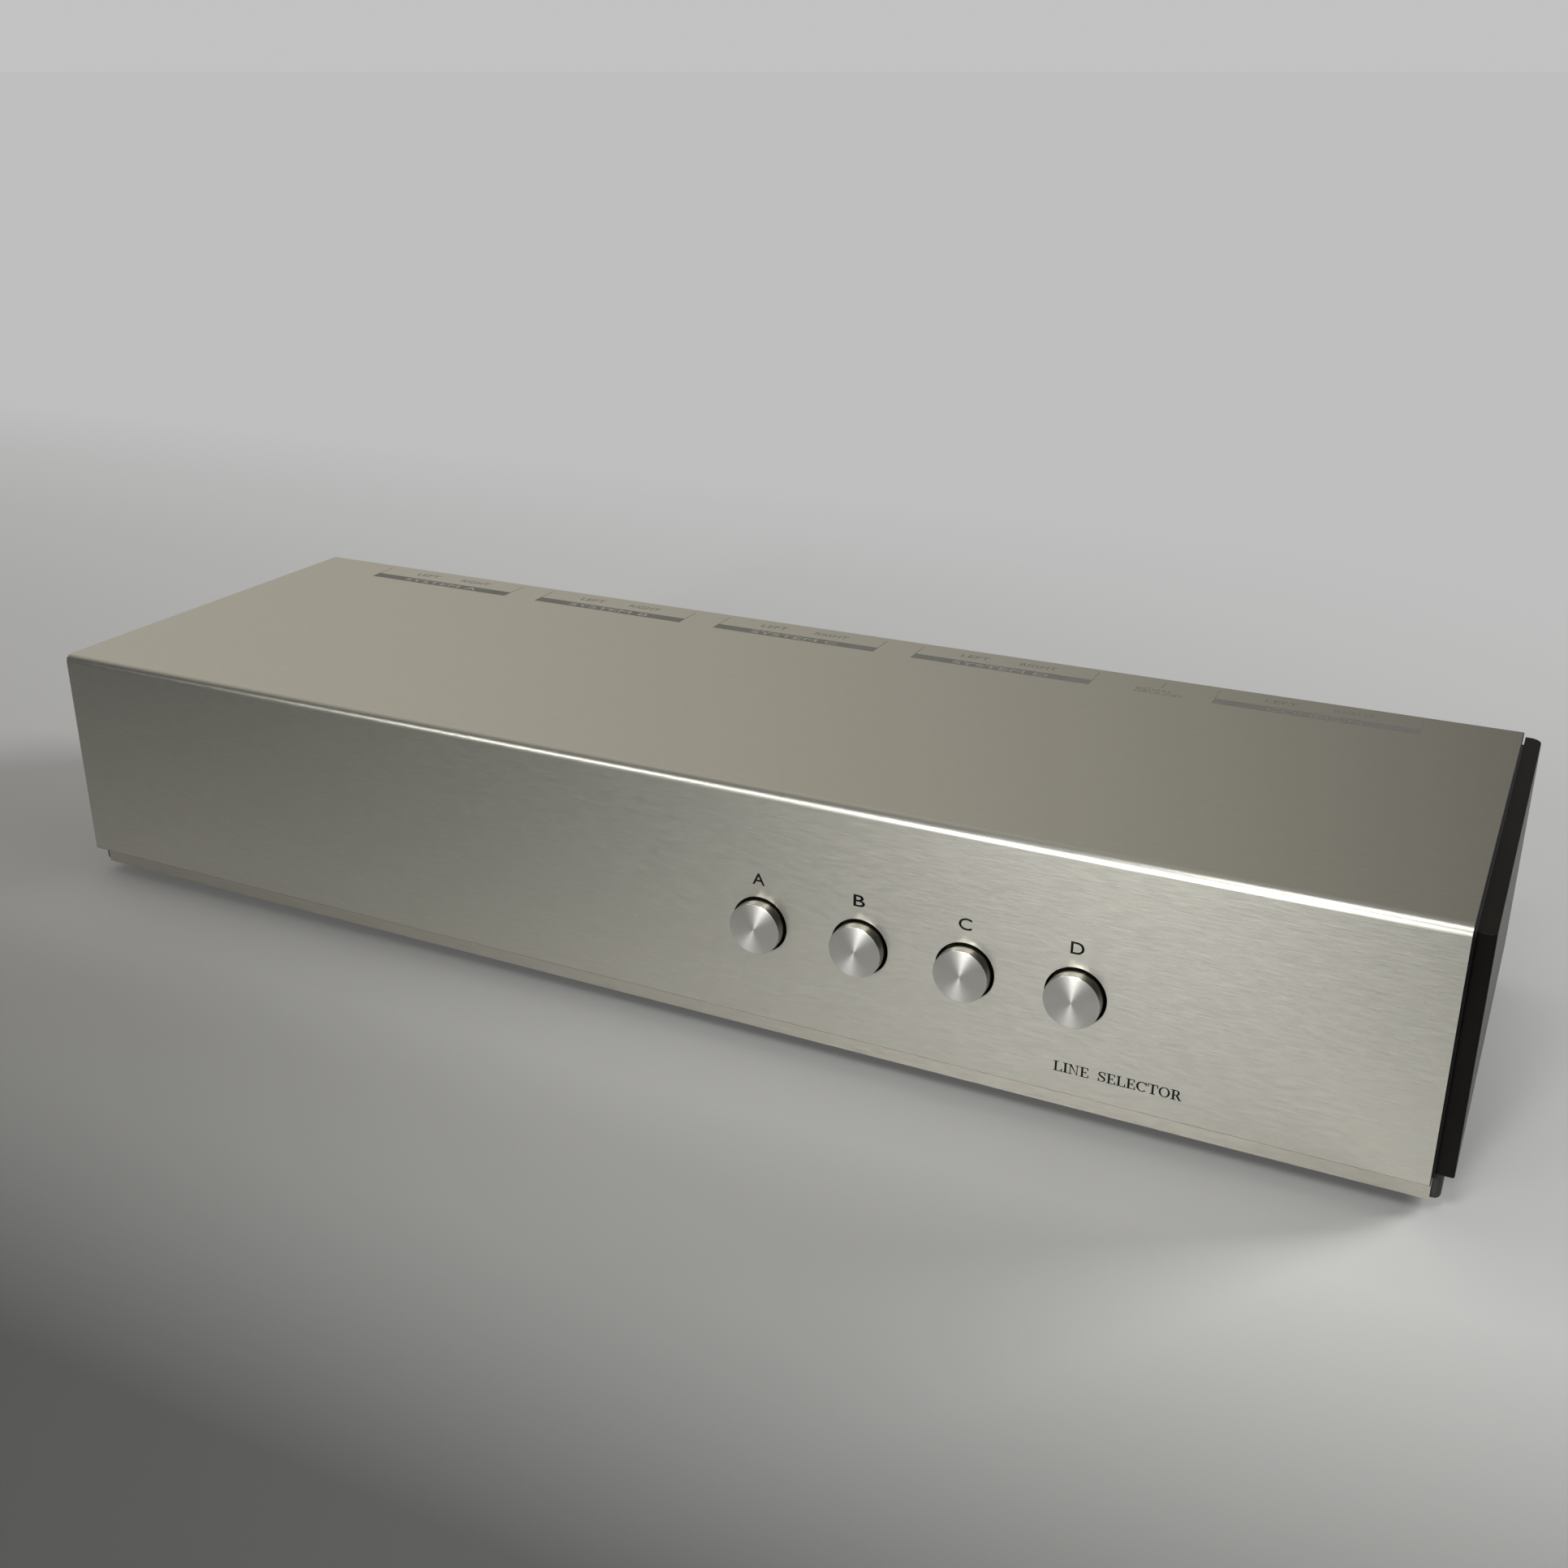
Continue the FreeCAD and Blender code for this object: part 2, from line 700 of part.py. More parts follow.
def make_jack_insulators(x):
    """Coloured ring with its shoulder in the panel hole, and the core inside the shell."""
    shoulder_end = rear_panel_outer_depth - jack_shoulder_length
    ring = joined(
        [
            rod_y(jack_ring_radius, x, jack_z, rear_panel_outer_depth, jack_flange_depth),
            rod_y(jack_shoulder_radius, x, jack_z, shoulder_end, rear_panel_outer_depth),
        ]
    )
    ring_bore = rod_y(jack_body_radius + fit_gap, x, jack_z, shoulder_end - overcut, jack_tip_depth)
    core_end = jack_tip_depth - jack_insulator_recess
    core_start = rear_panel_inner_depth - jack_body_length
    core = rod_y(jack_bore_radius - fit_gap, x, jack_z, core_start, core_end)
    core_bore = rod_y(contact_tube_radius + fit_gap, x, jack_z, core_start - overcut, jack_tip_depth)
    return [ring.cut(ring_bore), core.cut(core_bore)]


def make_jack_contact(x):
    """Centre contact: a bored tube for the plug's pin, and a solder tail."""
    mouth = jack_tip_depth - jack_insulator_recess
    start = rear_panel_inner_depth - jack_body_length
    tube = rod_y(contact_tube_radius, x, jack_z, start, mouth)
    tail = rod_y(contact_tail_radius, x, jack_z, start - contact_tail_length, start)
    bore = rod_y(contact_bore_radius, x, jack_z, mouth - contact_bore_depth, mouth + overcut)
    return joined([tube, tail]).cut(bore)


def make_jack_nut(x):
    start = rear_panel_inner_depth - jack_nut_height
    nut = prism_y(hexagon(jack_nut_across_flats, x, jack_z), start, rear_panel_inner_depth)
    return nut.cut(rod_y(jack_body_radius + fit_gap, x, jack_z, start - overcut, rear_panel_outer_depth))


def make_jack_board():
    """Long printed board on the solder tails of all the sockets."""
    spots = jack_x()
    left = min(spots) - jack_board_margin
    right = max(spots) + jack_board_margin
    low = jack_z - jack_board_drop
    high = jack_z + jack_board_rise
    board = block(left, right, jack_board_front_depth, jack_board_rear_depth, low, high)
    radius = contact_tail_radius + fit_gap
    front, rear = jack_board_front_depth - overcut, jack_board_rear_depth + overcut
    return cut(board, [rod_y(radius, x, jack_z, front, rear) for x in spots])


def make_ground_post():
    """Threaded post clinched into the rear panel from inside."""
    inner = rear_panel_inner_depth
    tip = rear_panel_outer_depth + ground_post_length
    flange = rod_y(ground_flange_radius, ground_x, jack_z, inner - ground_flange_thickness, inner)
    return joined([flange, rod_y(ground_post_radius, ground_x, jack_z, inner, tip)])


def make_ground_washer():
    start = rear_panel_outer_depth + seat_gap
    end = start + ground_washer_thickness
    washer = rod_y(ground_washer_radius, ground_x, jack_z, start, end)
    bore = rod_y(ground_post_radius + running_gap, ground_x, jack_z, start - overcut, end + overcut)
    return washer.cut(bore)


def make_ground_nut():
    """Knurled thumb nut, turned by hand."""
    start = rear_panel_outer_depth + seat_gap + ground_washer_thickness + running_gap
    end = start + ground_nut_length
    nut = rod_y(ground_nut_radius, ground_x, jack_z, start, end)
    grooves = []
    for i in range(ground_nut_ribs):
        angle = 2 * math.pi * i / ground_nut_ribs
        x = ground_x + ground_nut_radius * math.cos(angle)
        z = jack_z + ground_nut_radius * math.sin(angle)
        knurl_start, knurl_end = start + ground_nut_plain_end, end - ground_nut_plain_end
        grooves.append(rod_y(ground_nut_rib_depth, x, z, knurl_start, knurl_end))
    bore = rod_y(ground_post_radius + running_gap, ground_x, jack_z, start - overcut, end + overcut)
    return cut(nut, grooves + [bore])


def make_button_cap(x):
    """Turned cap with a slightly domed face, hollow behind, with a socket for the plunger's stem."""
    face = -button_proud
    edge = face + button_dome
    face_radius = button_radius - button_chamfer
    dome_radius = (face_radius**2 + button_dome**2) / (2 * button_dome)
    halfway = face + dome_radius - math.sqrt(dome_radius**2 - face_radius**2 / 4)
    crown = Vector(x, at(face), button_z)
    shoulder = Vector(x + face_radius / 2, at(halfway), button_z)
    corners = [
        Vector(x + face_radius, at(edge), button_z),
        Vector(x + button_radius, at(edge + button_chamfer), button_z),
        Vector(x + button_radius, at(button_rear_depth), button_z),
        Vector(x, at(button_rear_depth), button_z),
        crown,
    ]
    outline = [Part.Arc(crown, shoulder, corners[0]).toShape()]
    outline += [Part.LineSegment(first, second).toShape() for first, second in zip(corners, corners[1:])]
    cap = Part.Face(Part.Wire(outline)).revolve(crown, rearwards, 360)
    hollow_start = face + button_face_wall
    hollow = rod_y(button_radius - button_wall, x, button_z, hollow_start, button_rear_depth + overcut)
    socket = rod_y(button_socket_radius, x, button_z, hollow_start, button_socket_depth)
    bore_start = stem_front_depth - plunger_gap
    socket_bore = rod_y(stem_radius + fit_gap, x, button_z, bore_start, button_socket_depth + overcut)
    return joined([cap.cut(hollow), socket]).cut(socket_bore)


def pin_swing_angle():
    """Angle, in degrees, between the latch pin's two outermost places and its middle."""
    return math.degrees(math.asin(lane_offset / pin_arm_length))


def pin_pivot_depth():
    return pin_tip_depth + math.sqrt(pin_arm_length**2 - lane_offset**2)


def make_plunger(x):
    """Sliding rod of one station, with the latch groove on top and the contact clip's seat below."""
    start = housing_front_depth + plunger_gap
    left, right = x - plunger_half_width, x + plunger_half_width
    low, high = button_z - plunger_half_height, button_z + plunger_half_height
    boss_end = plunger_rear_depth + spring_boss_length
    body = joined(
        [
            rod_y(stem_radius, x, button_z, stem_front_depth, start),
            block(left, right, start, plunger_rear_depth, low, high),
            rod_y(spring_boss_radius, x, button_z, plunger_rear_depth, boss_end),
        ]
    )
    reach = pin_wire_radius + lane_clearance
    groove_front = pin_tip_depth - button_travel - reach
    groove_rear = pin_tip_depth + reach
    side = lane_offset + reach
    floor = high - groove_depth
    groove = block(x - side, x + side, groove_front, groove_rear, floor, high + overcut)
    heart_front = groove_front + 2 * reach
    heart_rear = groove_rear - 2 * reach
    shoulder = (heart_front + heart_rear) / 2
    heart = prism_z(
        [
            (x, heart_front + heart_notch, 0),
            (x + heart_half_width, heart_front, 0),
            (x + heart_half_width, shoulder, 0),
            (x, heart_rear, 0),
            (x - heart_half_width, shoulder, 0),
            (x - heart_half_width, heart_front, 0),
        ],
        floor,
        high,
    )
    seat = block(*clip_bounds(x, 0), low - overcut, low + clip_thickness)
    return cut(body, [groove.cut(heart), seat])


def clip_bounds(x, inset):
    """X and depth limits of the contact clip on a plunger's underside."""
    half = clip_half_width - inset
    return x - half, x + half, clip_front_depth + inset, clip_front_depth + clip_length - inset


def make_contact_clip(x):
    low = button_z - plunger_half_height
    return block(*clip_bounds(x, fit_gap), low, low + clip_thickness - fit_gap)


def pin_recess(x):
    """Room above the plunger in which the latch pin swings."""
    side = lane_offset + pin_wire_radius + lane_clearance
    front = pin_tip_depth - pin_wire_radius - lane_clearance
    rear = pin_pivot_depth() + pin_wire_radius + lane_clearance
    high = button_z + pin_arm_rise + pin_wire_radius + lane_clearance
    return block(x - side, x + side, front, rear, button_z, high)


def make_housing(x):
    """Moulded body of one station, with the plunger's channel and the latch pin's recess."""
    left, right = x - housing_half_width, x + housing_half_width
    high = button_z + switch_web_rise - switch_plate
    body = block(left, right, housing_front_depth, housing_rear_depth, button_z - housing_drop, high)
    half = plunger_half_width + plunger_gap
    low = button_z - plunger_half_height - plunger_gap
    top = button_z + plunger_half_height + plunger_gap
    channel = block(x - half, x + half, housing_front_depth - overcut, spring_end_depth, low, top)
    leg_top = button_z + pin_arm_rise + pin_leg_length
    pivot = rod_z(pin_wire_radius + running_gap, x, pin_pivot_depth(), button_z, leg_top + plunger_gap)
    slots = [terminal(px, depth, low, fit_gap) for px, depth in terminal_spots(x)]
    return cut(body, [channel, pin_recess(x), pivot] + slots)


def make_latch_pin(x):
    """Bent wire: a pivot leg in the housing, an arm, and a tip in the plunger's groove."""
    pivot = Vector(x, at(pin_pivot_depth()), button_z + pin_arm_rise)
    tip = Vector(x - lane_offset, at(pin_tip_depth), button_z + pin_arm_rise)
    tip_low = button_z + plunger_half_height - groove_depth + lane_clearance
    arm = Part.makeCylinder(pin_wire_radius, pin_arm_length, pivot, tip - pivot)
    leg = Part.makeCylinder(pin_wire_radius, pin_leg_length, pivot)
    finger = Part.makeCylinder(pin_wire_radius, tip.z - tip_low, Vector(tip.x, tip.y, tip_low))
    elbows = [Part.makeSphere(pin_wire_radius, pivot), Part.makeSphere(pin_wire_radius, tip)]
    return joined([arm, leg, finger] + elbows)


def make_return_spring(x):
    """Coil between the plunger's rear end and the housing's rear wall."""
    start = plunger_rear_depth + spring_wire_radius + fit_gap
    length = spring_end_depth - plunger_rear_depth - 2 * (spring_wire_radius + fit_gap)
    helix = Part.makeHelix(length / spring_turns, length, spring_radius)
    ring = Part.makeCircle(spring_wire_radius, Vector(spring_radius, 0, 0), Vector(0, 1, 0))
    coil = Part.Wire(helix.Edges).makePipeShell([Part.Wire(ring)], True, True)
    turn = FreeCAD.Rotation(Vector(0, 0, 1), Vector(0, 1, 0))
    coil.Placement = FreeCAD.Placement(Vector(x, at(start), button_z), turn)
    return coil


def terminal_spots(x):
    return [(x + side * terminal_x, depth) for depth in terminal_depths for side in (-1, 1)]


def terminal(x, depth, top, gap):
    """One contact terminal, or with a gap the slot that it sits in."""
    wide = terminal_width / 2 + gap
    thick = terminal_thickness / 2 + gap
    low = board_top_z - board_thickness - terminal_tail
    return block(x - thick, x + thick, depth - wide, depth + wide, low - gap, top)


def make_terminals():
    top = button_z - plunger_half_height - plunger_gap
    return [terminal(px, depth, top, 0) for x in button_x for px, depth in terminal_spots(x)]


def make_switch_board():
    left = button_x[0] - switch_board_overhang
    right = button_x[-1] + switch_board_overhang
    low = board_top_z - board_thickness
    board = block(left, right, switch_board_front_depth, switch_board_rear_depth, low, board_top_z)
    slots = []
    for x in button_x:
        slots += [terminal(px, depth, board_top_z + overcut, fit_gap) for px, depth in terminal_spots(x)]
    return cut(board, slots)


def make_switch_frame():
    """Folded steel frame that holds the four switch housings in line behind the buttons."""
    web_top = button_z + switch_web_rise
    web_low = web_top - switch_plate
    front, rear = switch_front_depth, switch_rear_depth
    channel = prism_x(
        [
            (front, button_z - switch_plate_drop, 0),
            (front, web_top, 0),
            (rear, web_top, 0),
            (rear, button_z - switch_rear_plate_drop, 0),
            (rear - switch_plate, button_z - switch_rear_plate_drop, 0),
            (rear - switch_plate, web_low, 0),
            (front + switch_plate, web_low, 0),
            (front + switch_plate, button_z - switch_plate_drop, 0),
        ],
        button_x[0] - switch_web_overhang,
        button_x[-1] + switch_web_overhang,
    )
    ears = block(
        button_x[0] - switch_ear_overhang,
        button_x[-1] + switch_ear_overhang,
        front,
        front + switch_plate,
        button_z - switch_plate_drop,
        web_top,
    )
    before, after = front - overcut, front + switch_plate + overcut
    holes = [rod_y(stem_radius + plunger_gap, x, button_z, before, after) for x in button_x]
    holes += [rod_y(clear_radius, x, button_z, before, after) for x in ear_screw_x]
    return cut(joined([channel, ears]), holes)


def make_standoffs():
    spacers = []
    for x in ear_screw_x:
        bore = rod_y(tapped_radius, x, button_z, 0, switch_front_depth + overcut)
        corners = hexagon(nut_across_flats, x, button_z)
        spacers.append(prism_y(corners, subpanel_rear_depth, switch_front_depth).cut(bore))
    return spacers


def make_switch_frame_screws():
    length = (switch_front_depth - subpanel_rear_depth) / 2
    screws = []
    for x in ear_screw_x:
        screws.append(flat_screw(x, button_z, subpanel_front_depth, length))
        screws.append(pan_screw(x, housing_front_depth, button_z, rearwards, length))
    return screws


def make_lead(start_x, lane_depth, end_x):
    """Screened lead in one level: forwards from the socket board, across, and on to the switch board."""
    corners = [
        Vector(start_x, at(jack_board_front_depth), lead_z),
        Vector(start_x, at(lane_depth), lead_z),
        Vector(end_x, at(lane_depth), lead_z),
        Vector(end_x, at(switch_board_rear_depth), lead_z),
    ]
    across = end_x - start_x
    bend = min(lead_bend_radius, abs(across) / 2)
    inward = Vector(math.copysign(bend, across), 0, 0)
    forward = Vector(0, -bend, 0)
    diagonal = 1 - math.sqrt(0.5)
    first_mid = corners[1] + (inward - forward) * diagonal
    second_mid = corners[2] + (forward - inward) * diagonal
    edges = [
        Part.LineSegment(corners[0], corners[1] - forward).toShape(),
        Part.Arc(corners[1] - forward, first_mid, corners[1] + inward).toShape(),
    ]
    if abs(across) > 2 * bend + tiny:
        edges.append(Part.LineSegment(corners[1] + inward, corners[2] - inward).toShape())
    edges.append(Part.Arc(corners[2] - inward, second_mid, corners[2] + forward).toShape())
    edges.append(Part.LineSegment(corners[2] + forward, corners[3]).toShape())
    ring = Part.Wire(Part.makeCircle(lead_radius, corners[0], Vector(0, -1, 0)))
    return Part.Wire(edges).makePipeShell([ring], True, False)


def make_leads():
    """One lead for each pair of sockets, side by side in lanes of their own."""
    pitch = (last_lane_depth - first_lane_depth) / (len(stations) - 1)
    lanes = [first_lane_depth + i * pitch for i in range(len(stations))]
    lanes.append((first_lane_depth + last_lane_depth) / 2)
    return [make_lead(start, lane, end) for start, lane, end in zip(system_x, lanes, lead_end_x)]


save("top_front_cover", make_cover())
save("cover_stud_nuts", *make_stud_nuts())
save("right_cheek", make_right_cheek())
save("left_cheek", mirrored(make_right_cheek()))
right_cheek_screws = make_right_cheek_screws()
save("cheek_screws", *right_cheek_screws, *[mirrored(screw) for screw in right_cheek_screws])
save("base_pan", make_base_pan())
pan_screws = [pan_screw(x, depth, pan_z, downwards, pan_screw_length) for x, depth in pan_screw_spots()]
save("base_pan_screws", *pan_screws)
save("front_plinth_strip", make_plinth_strip())
save("rubber_feet", *make_feet())
foot_screws = []
for x, depth in foot_spots():
    foot_screws.append(pan_screw(x, depth, foot_recess_depth, downwards, pan_screw_length))
save("foot_screws", *foot_screws)
save("front_subpanel", make_subpanel())
save("right_side_plate", make_right_side_plate())
save("left_side_plate", mirrored(make_right_side_plate()))
frame_screws = [flat_screw(x, z, subpanel_front_depth, side_screw_length) for x, z in side_screw_spots()]
save("frame_screws", *frame_screws)
save("rear_panel", make_rear_panel())
rear_screws = []
for x, z in side_screw_spots():
    rear_screws.append(pan_screw(x, rear_panel_outer_depth, z, rearwards, side_screw_length))
save("rear_panel_screws", *rear_screws)
save("switch_frame", make_switch_frame())
save("switch_standoffs", *make_standoffs())
save("switch_frame_screws", *make_switch_frame_screws())
for letter, x in zip(stations, button_x):
    save("button_cap_" + letter, make_button_cap(x))
    save("plunger_" + letter, make_plunger(x))
    save("contact_clip_" + letter, make_contact_clip(x))
    save("return_spring_" + letter, make_return_spring(x))
    save("latch_pin_" + letter, make_latch_pin(x))
    save("switch_housing_" + letter, make_housing(x))
save("switch_terminals", *make_terminals())
save("switch_board", make_switch_board())
for name, x in zip(system_names, system_x):
    save(name + "_jacks", *[make_jack_sleeve(x + side * jack_pitch / 2) for side in (-1, 1)])
for side, offset in (("left", -jack_pitch / 2), ("right", jack_pitch / 2)):
    save(side + "_jack_insulators", *[piece for x in system_x for piece in make_jack_insulators(x + offset)])
save("jack_centre_contacts", *[make_jack_contact(x) for x in jack_x()])
save("jack_nuts", *[make_jack_nut(x) for x in jack_x()])
save("jack_board", make_jack_board())
save("signal_leads", *make_leads())
save("ground_post", make_ground_post())
save("ground_washer", make_ground_washer())
save("ground_thumb_nut", make_ground_nut())
print("overall depth", overall_depth, "front face at", front_y, "pin swing", 2 * pin_swing_angle())
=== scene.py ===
import json
import math

import bmesh
import bpy
from mathutils import Euler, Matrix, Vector


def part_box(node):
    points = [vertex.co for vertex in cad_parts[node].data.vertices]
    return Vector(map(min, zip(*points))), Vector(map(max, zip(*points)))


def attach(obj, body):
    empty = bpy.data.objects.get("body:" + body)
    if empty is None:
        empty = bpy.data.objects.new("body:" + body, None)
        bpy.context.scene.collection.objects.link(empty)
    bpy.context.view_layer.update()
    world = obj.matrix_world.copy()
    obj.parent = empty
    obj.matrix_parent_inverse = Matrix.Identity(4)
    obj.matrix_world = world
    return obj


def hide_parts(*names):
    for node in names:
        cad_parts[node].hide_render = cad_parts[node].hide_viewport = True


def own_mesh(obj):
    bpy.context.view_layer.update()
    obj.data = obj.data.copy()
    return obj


# Line selector: the looks of a low audio component in brushed metal with four push buttons.
# Metres, in the part's frame: X to the right seen from the front, Y to the rear, Z up.

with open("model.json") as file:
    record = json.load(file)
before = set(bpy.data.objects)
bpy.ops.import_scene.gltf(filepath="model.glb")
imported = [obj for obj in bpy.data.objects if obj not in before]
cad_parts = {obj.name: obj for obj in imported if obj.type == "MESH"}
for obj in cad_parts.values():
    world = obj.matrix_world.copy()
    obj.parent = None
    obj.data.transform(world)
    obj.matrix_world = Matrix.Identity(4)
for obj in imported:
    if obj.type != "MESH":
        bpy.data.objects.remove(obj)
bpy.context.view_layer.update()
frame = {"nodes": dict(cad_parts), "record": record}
scene = bpy.context.scene
scene.view_settings.view_transform = "Standard"

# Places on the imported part
cover_low, cover_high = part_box("top_front_cover")
front_y = cover_low[1]
cover_bottom = cover_low[2]
cover_top = cover_high[2]
cover_rear = cover_high[1]
letters = "abcd"
cap_boxes = [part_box("button_cap_" + letter) for letter in letters]
cap_x = [(low[0] + high[0]) / 2 for low, high in cap_boxes]
cap_z = (cap_boxes[0][0][2] + cap_boxes[0][1][2]) / 2
jack_names = ["system_a_jacks", "system_b_jacks", "system_c_jacks", "system_d_jacks", "common_jacks"]
jack_boxes = [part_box(name) for name in jack_names]
system_x = [(low[0] + high[0]) / 2 for low, high in jack_boxes]
post_low, post_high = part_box("ground_post")
ground_x = (post_low[0] + post_high[0]) / 2

# Camera, at the photograph's place
camera_place = (0.22545, -0.44272, 0.25545)
camera_turn = (67.764, 0.099, 26.555)
camera_lens = 39.53
camera_sensor = 36.0
camera_shift = (0.0125, -0.0101)

# Printed legends
print_lift = 0.00002
letter_height = 0.0034
letter_widths = [0.0037, 0.0033, 0.0036, 0.0035]
letter_rise = 0.0406
letter_offset = -0.0003
legend_height = 0.00284
legend_rise = 0.0063
legend_start = 0.1216
legend_end = 0.1547
letter_weight = 0.010
ink_spread = 0.01

# Marks in the metals, counted in repeats for each metre along X, Y and Z
streak_repeats = (240, 5600, 5600)
dash_repeats = (420, 4600, 4600)
grain_repeats = (3000, 3000, 3000)
ring_repeats = 90.0
fine_bump = 0.000004
brushed_anisotropy = 0.60
spun_anisotropy = 0.70
# Painted shade: the cut sides and undersides of the brushed sheets are coloured dark, and made rougher
edge_shade_colour = (0.03, 0.029, 0.026)
cut_edge_roughness = 0.75
# The caps' sides are painted darker than their faces, as shade
cap_side_shade_colour = (0.50, 0.48, 0.42)
cap_side_roughness = 0.20


# Node helpers

def new_material(name):
    material = bpy.data.materials.new(name)
    material.use_nodes = True
    return material


def shader_of(material):
    return material.node_tree.nodes["Principled BSDF"]


def add_node(material, kind, **settings):
    node = material.node_tree.nodes.new(kind)
    for key, value in settings.items():
        setattr(node, key, value)
    return node


def join_nodes(material, output, target):
    material.node_tree.links.new(output, target)


def scaled_place(material, scale):
    """The piece's own coordinates in metres, times a scale for each axis."""
    place = add_node(material, "ShaderNodeTexCoord")
    mapping = add_node(material, "ShaderNodeMapping")
    mapping.inputs["Scale"].default_value = scale
    join_nodes(material, place.outputs["Object"], mapping.inputs["Vector"])
    return mapping.outputs["Vector"]


def noise(material, vector, scale=1.0, detail=2.0):
    texture = add_node(material, "ShaderNodeTexNoise")
    texture.inputs["Scale"].default_value = scale
    texture.inputs["Detail"].default_value = detail
    join_nodes(material, vector, texture.inputs["Vector"])
    return texture.outputs["Fac"]


def ranged(material, value, low, high, start=0.3, end=0.7):
    """Turns the middle stretch of a noise into values from low to high."""
    node = add_node(material, "ShaderNodeMapRange")
    node.inputs["From Min"].default_value = start
    node.inputs["From Max"].default_value = end
    node.inputs["To Min"].default_value = low
    node.inputs["To Max"].default_value = high
    join_nodes(material, value, node.inputs["Value"])
    return node.outputs["Result"]


def blended(material, factor, first, second):
    node = add_node(material, "ShaderNodeMix", data_type="RGBA")
    node.inputs["A"].default_value = (*first, 1.0)
    node.inputs["B"].default_value = (*second, 1.0)
    join_nodes(material, factor, node.inputs["Factor"])
    return node.outputs["Result"]


def add_bump(material, height, distance):
    bump = add_node(material, "ShaderNodeBump")
    bump.inputs["Strength"].default_value = 1.0
    bump.inputs["Distance"].default_value = distance
    join_nodes(material, height, bump.inputs["Height"])
    join_nodes(material, bump.outputs["Normal"], shader_of(material).inputs["Normal"])


def normal_along(material, axis):
    """How far the surface looks along this axis, from -1 to 1."""
    place = add_node(material, "ShaderNodeTexCoord")
    split = add_node(material, "ShaderNodeSeparateXYZ")
    join_nodes(material, place.outputs["Normal"], split.inputs["Vector"])
    return split.outputs[axis]


def facing(material, axis, start, end):
    """One on faces that look along this axis, either way, and nought on those that look across it."""
    size = add_node(material, "ShaderNodeMath", operation="ABSOLUTE")
    join_nodes(material, normal_along(material, axis), size.inputs[0])
    return ranged(material, size.outputs["Value"], 0, 1, start, end)


def shaded_cut_edges(material):
    """One on faces that look along X or down, the sheet's cut sides and undersides that get painted shade,
    and nought on all others.
    """
    downwards = ranged(material, normal_along(material, "Z"), 1, 0, -0.65, -0.45)
    either = add_node(material, "ShaderNodeMath", operation="MAXIMUM")
    join_nodes(material, facing(material, "X", 0.45, 0.65), either.inputs[0])
    join_nodes(material, downwards, either.inputs[1])
    return either.outputs["Value"]


def mixed(material, factor, first, second):
    """Goes from the value or node output first to second as factor goes from nought to one."""
    node = add_node(material, "ShaderNodeMix")
    join_nodes(material, factor, node.inputs["Factor"])
    for socket, value in ((node.inputs["A"], first), (node.inputs["B"], second)):
        if isinstance(value, float):
            socket.default_value = value
        else:
            join_nodes(material, value, socket)
    return node.outputs["Result"]


def brushed_metal(name, dark, light, rough_low, rough_high):
    """Sheet metal brushed along X: fine streaks, highlights drawn out across them, and painted shade on its
    sides and undersides.
    """
    material = new_material(name)
    shader = shader_of(material)
    shader.inputs["Metallic"].default_value = 1.0
    shader.inputs["Anisotropic"].default_value = brushed_anisotropy
    tangent = add_node(material, "ShaderNodeTangent", direction_type="RADIAL", axis="X")
    join_nodes(material, tangent.outputs["Tangent"], shader.inputs["Tangent"])
    streaks = noise(material, scaled_place(material, streak_repeats), detail=3)
    dashes = noise(material, scaled_place(material, dash_repeats), detail=1)
    both = add_node(material, "ShaderNodeMath", operation="ADD")
    join_nodes(material, ranged(material, streaks, 0, 0.55), both.inputs[0])
    join_nodes(material, ranged(material, dashes, 0, 1.4, 0.64, 0.80), both.inputs[1])
    face_colour = blended(material, both.outputs["Value"], dark, light)
    # Faces looking along X or down are painted dark as shade, for the dark line beside the cheeks and under
    # the front's bottom edge
    edge_shade = shaded_cut_edges(material)
    colour = blended(material, edge_shade, dark, edge_shade_colour)
    join_nodes(material, face_colour, colour.node.inputs["A"])
    join_nodes(material, colour, shader.inputs["Base Color"])
    face_roughness = ranged(material, streaks, rough_low, rough_high)
    roughness = mixed(material, edge_shade, face_roughness, cut_edge_roughness)
    join_nodes(material, roughness, shader.inputs["Roughness"])
    return material


def plain_metal(name, dark, light, rough_low, rough_high):
    """Plated or drawn metal: a fine grain with a little drift in its colour."""
    material = new_material(name)
    shader = shader_of(material)
    shader.inputs["Metallic"].default_value = 1.0
    specks = noise(material, scaled_place(material, grain_repeats), detail=3)
    clouds = noise(material, scaled_place(material, (120, 120, 120)), detail=3)
    colour = blended(material, ranged(material, clouds, 0, 1), dark, light)
    join_nodes(material, colour, shader.inputs["Base Color"])
    join_nodes(material, ranged(material, specks, rough_low, rough_high), shader.inputs["Roughness"])
    add_bump(material, specks, fine_bump)
    return material


def coated(name, dark, light, rough_low, rough_high, grain=2500, bump=0.00001, gloss=0.5):
    """Paint, plastic or rubber: a fine-grained skin with a little drift in its colour."""
    material = new_material(name)
    shader = shader_of(material)
    shader.inputs["Specular IOR Level"].default_value = gloss
    specks = noise(material, scaled_place(material, (grain, grain, grain)), detail=3)
    clouds = noise(material, scaled_place(material, (80, 80, 80)), detail=3)
    colour = blended(material, ranged(material, clouds, 0, 1), dark, light)
    join_nodes(material, colour, shader.inputs["Base Color"])
    join_nodes(material, ranged(material, specks, rough_low, rough_high), shader.inputs["Roughness"])
    add_bump(material, specks, bump)
    return material


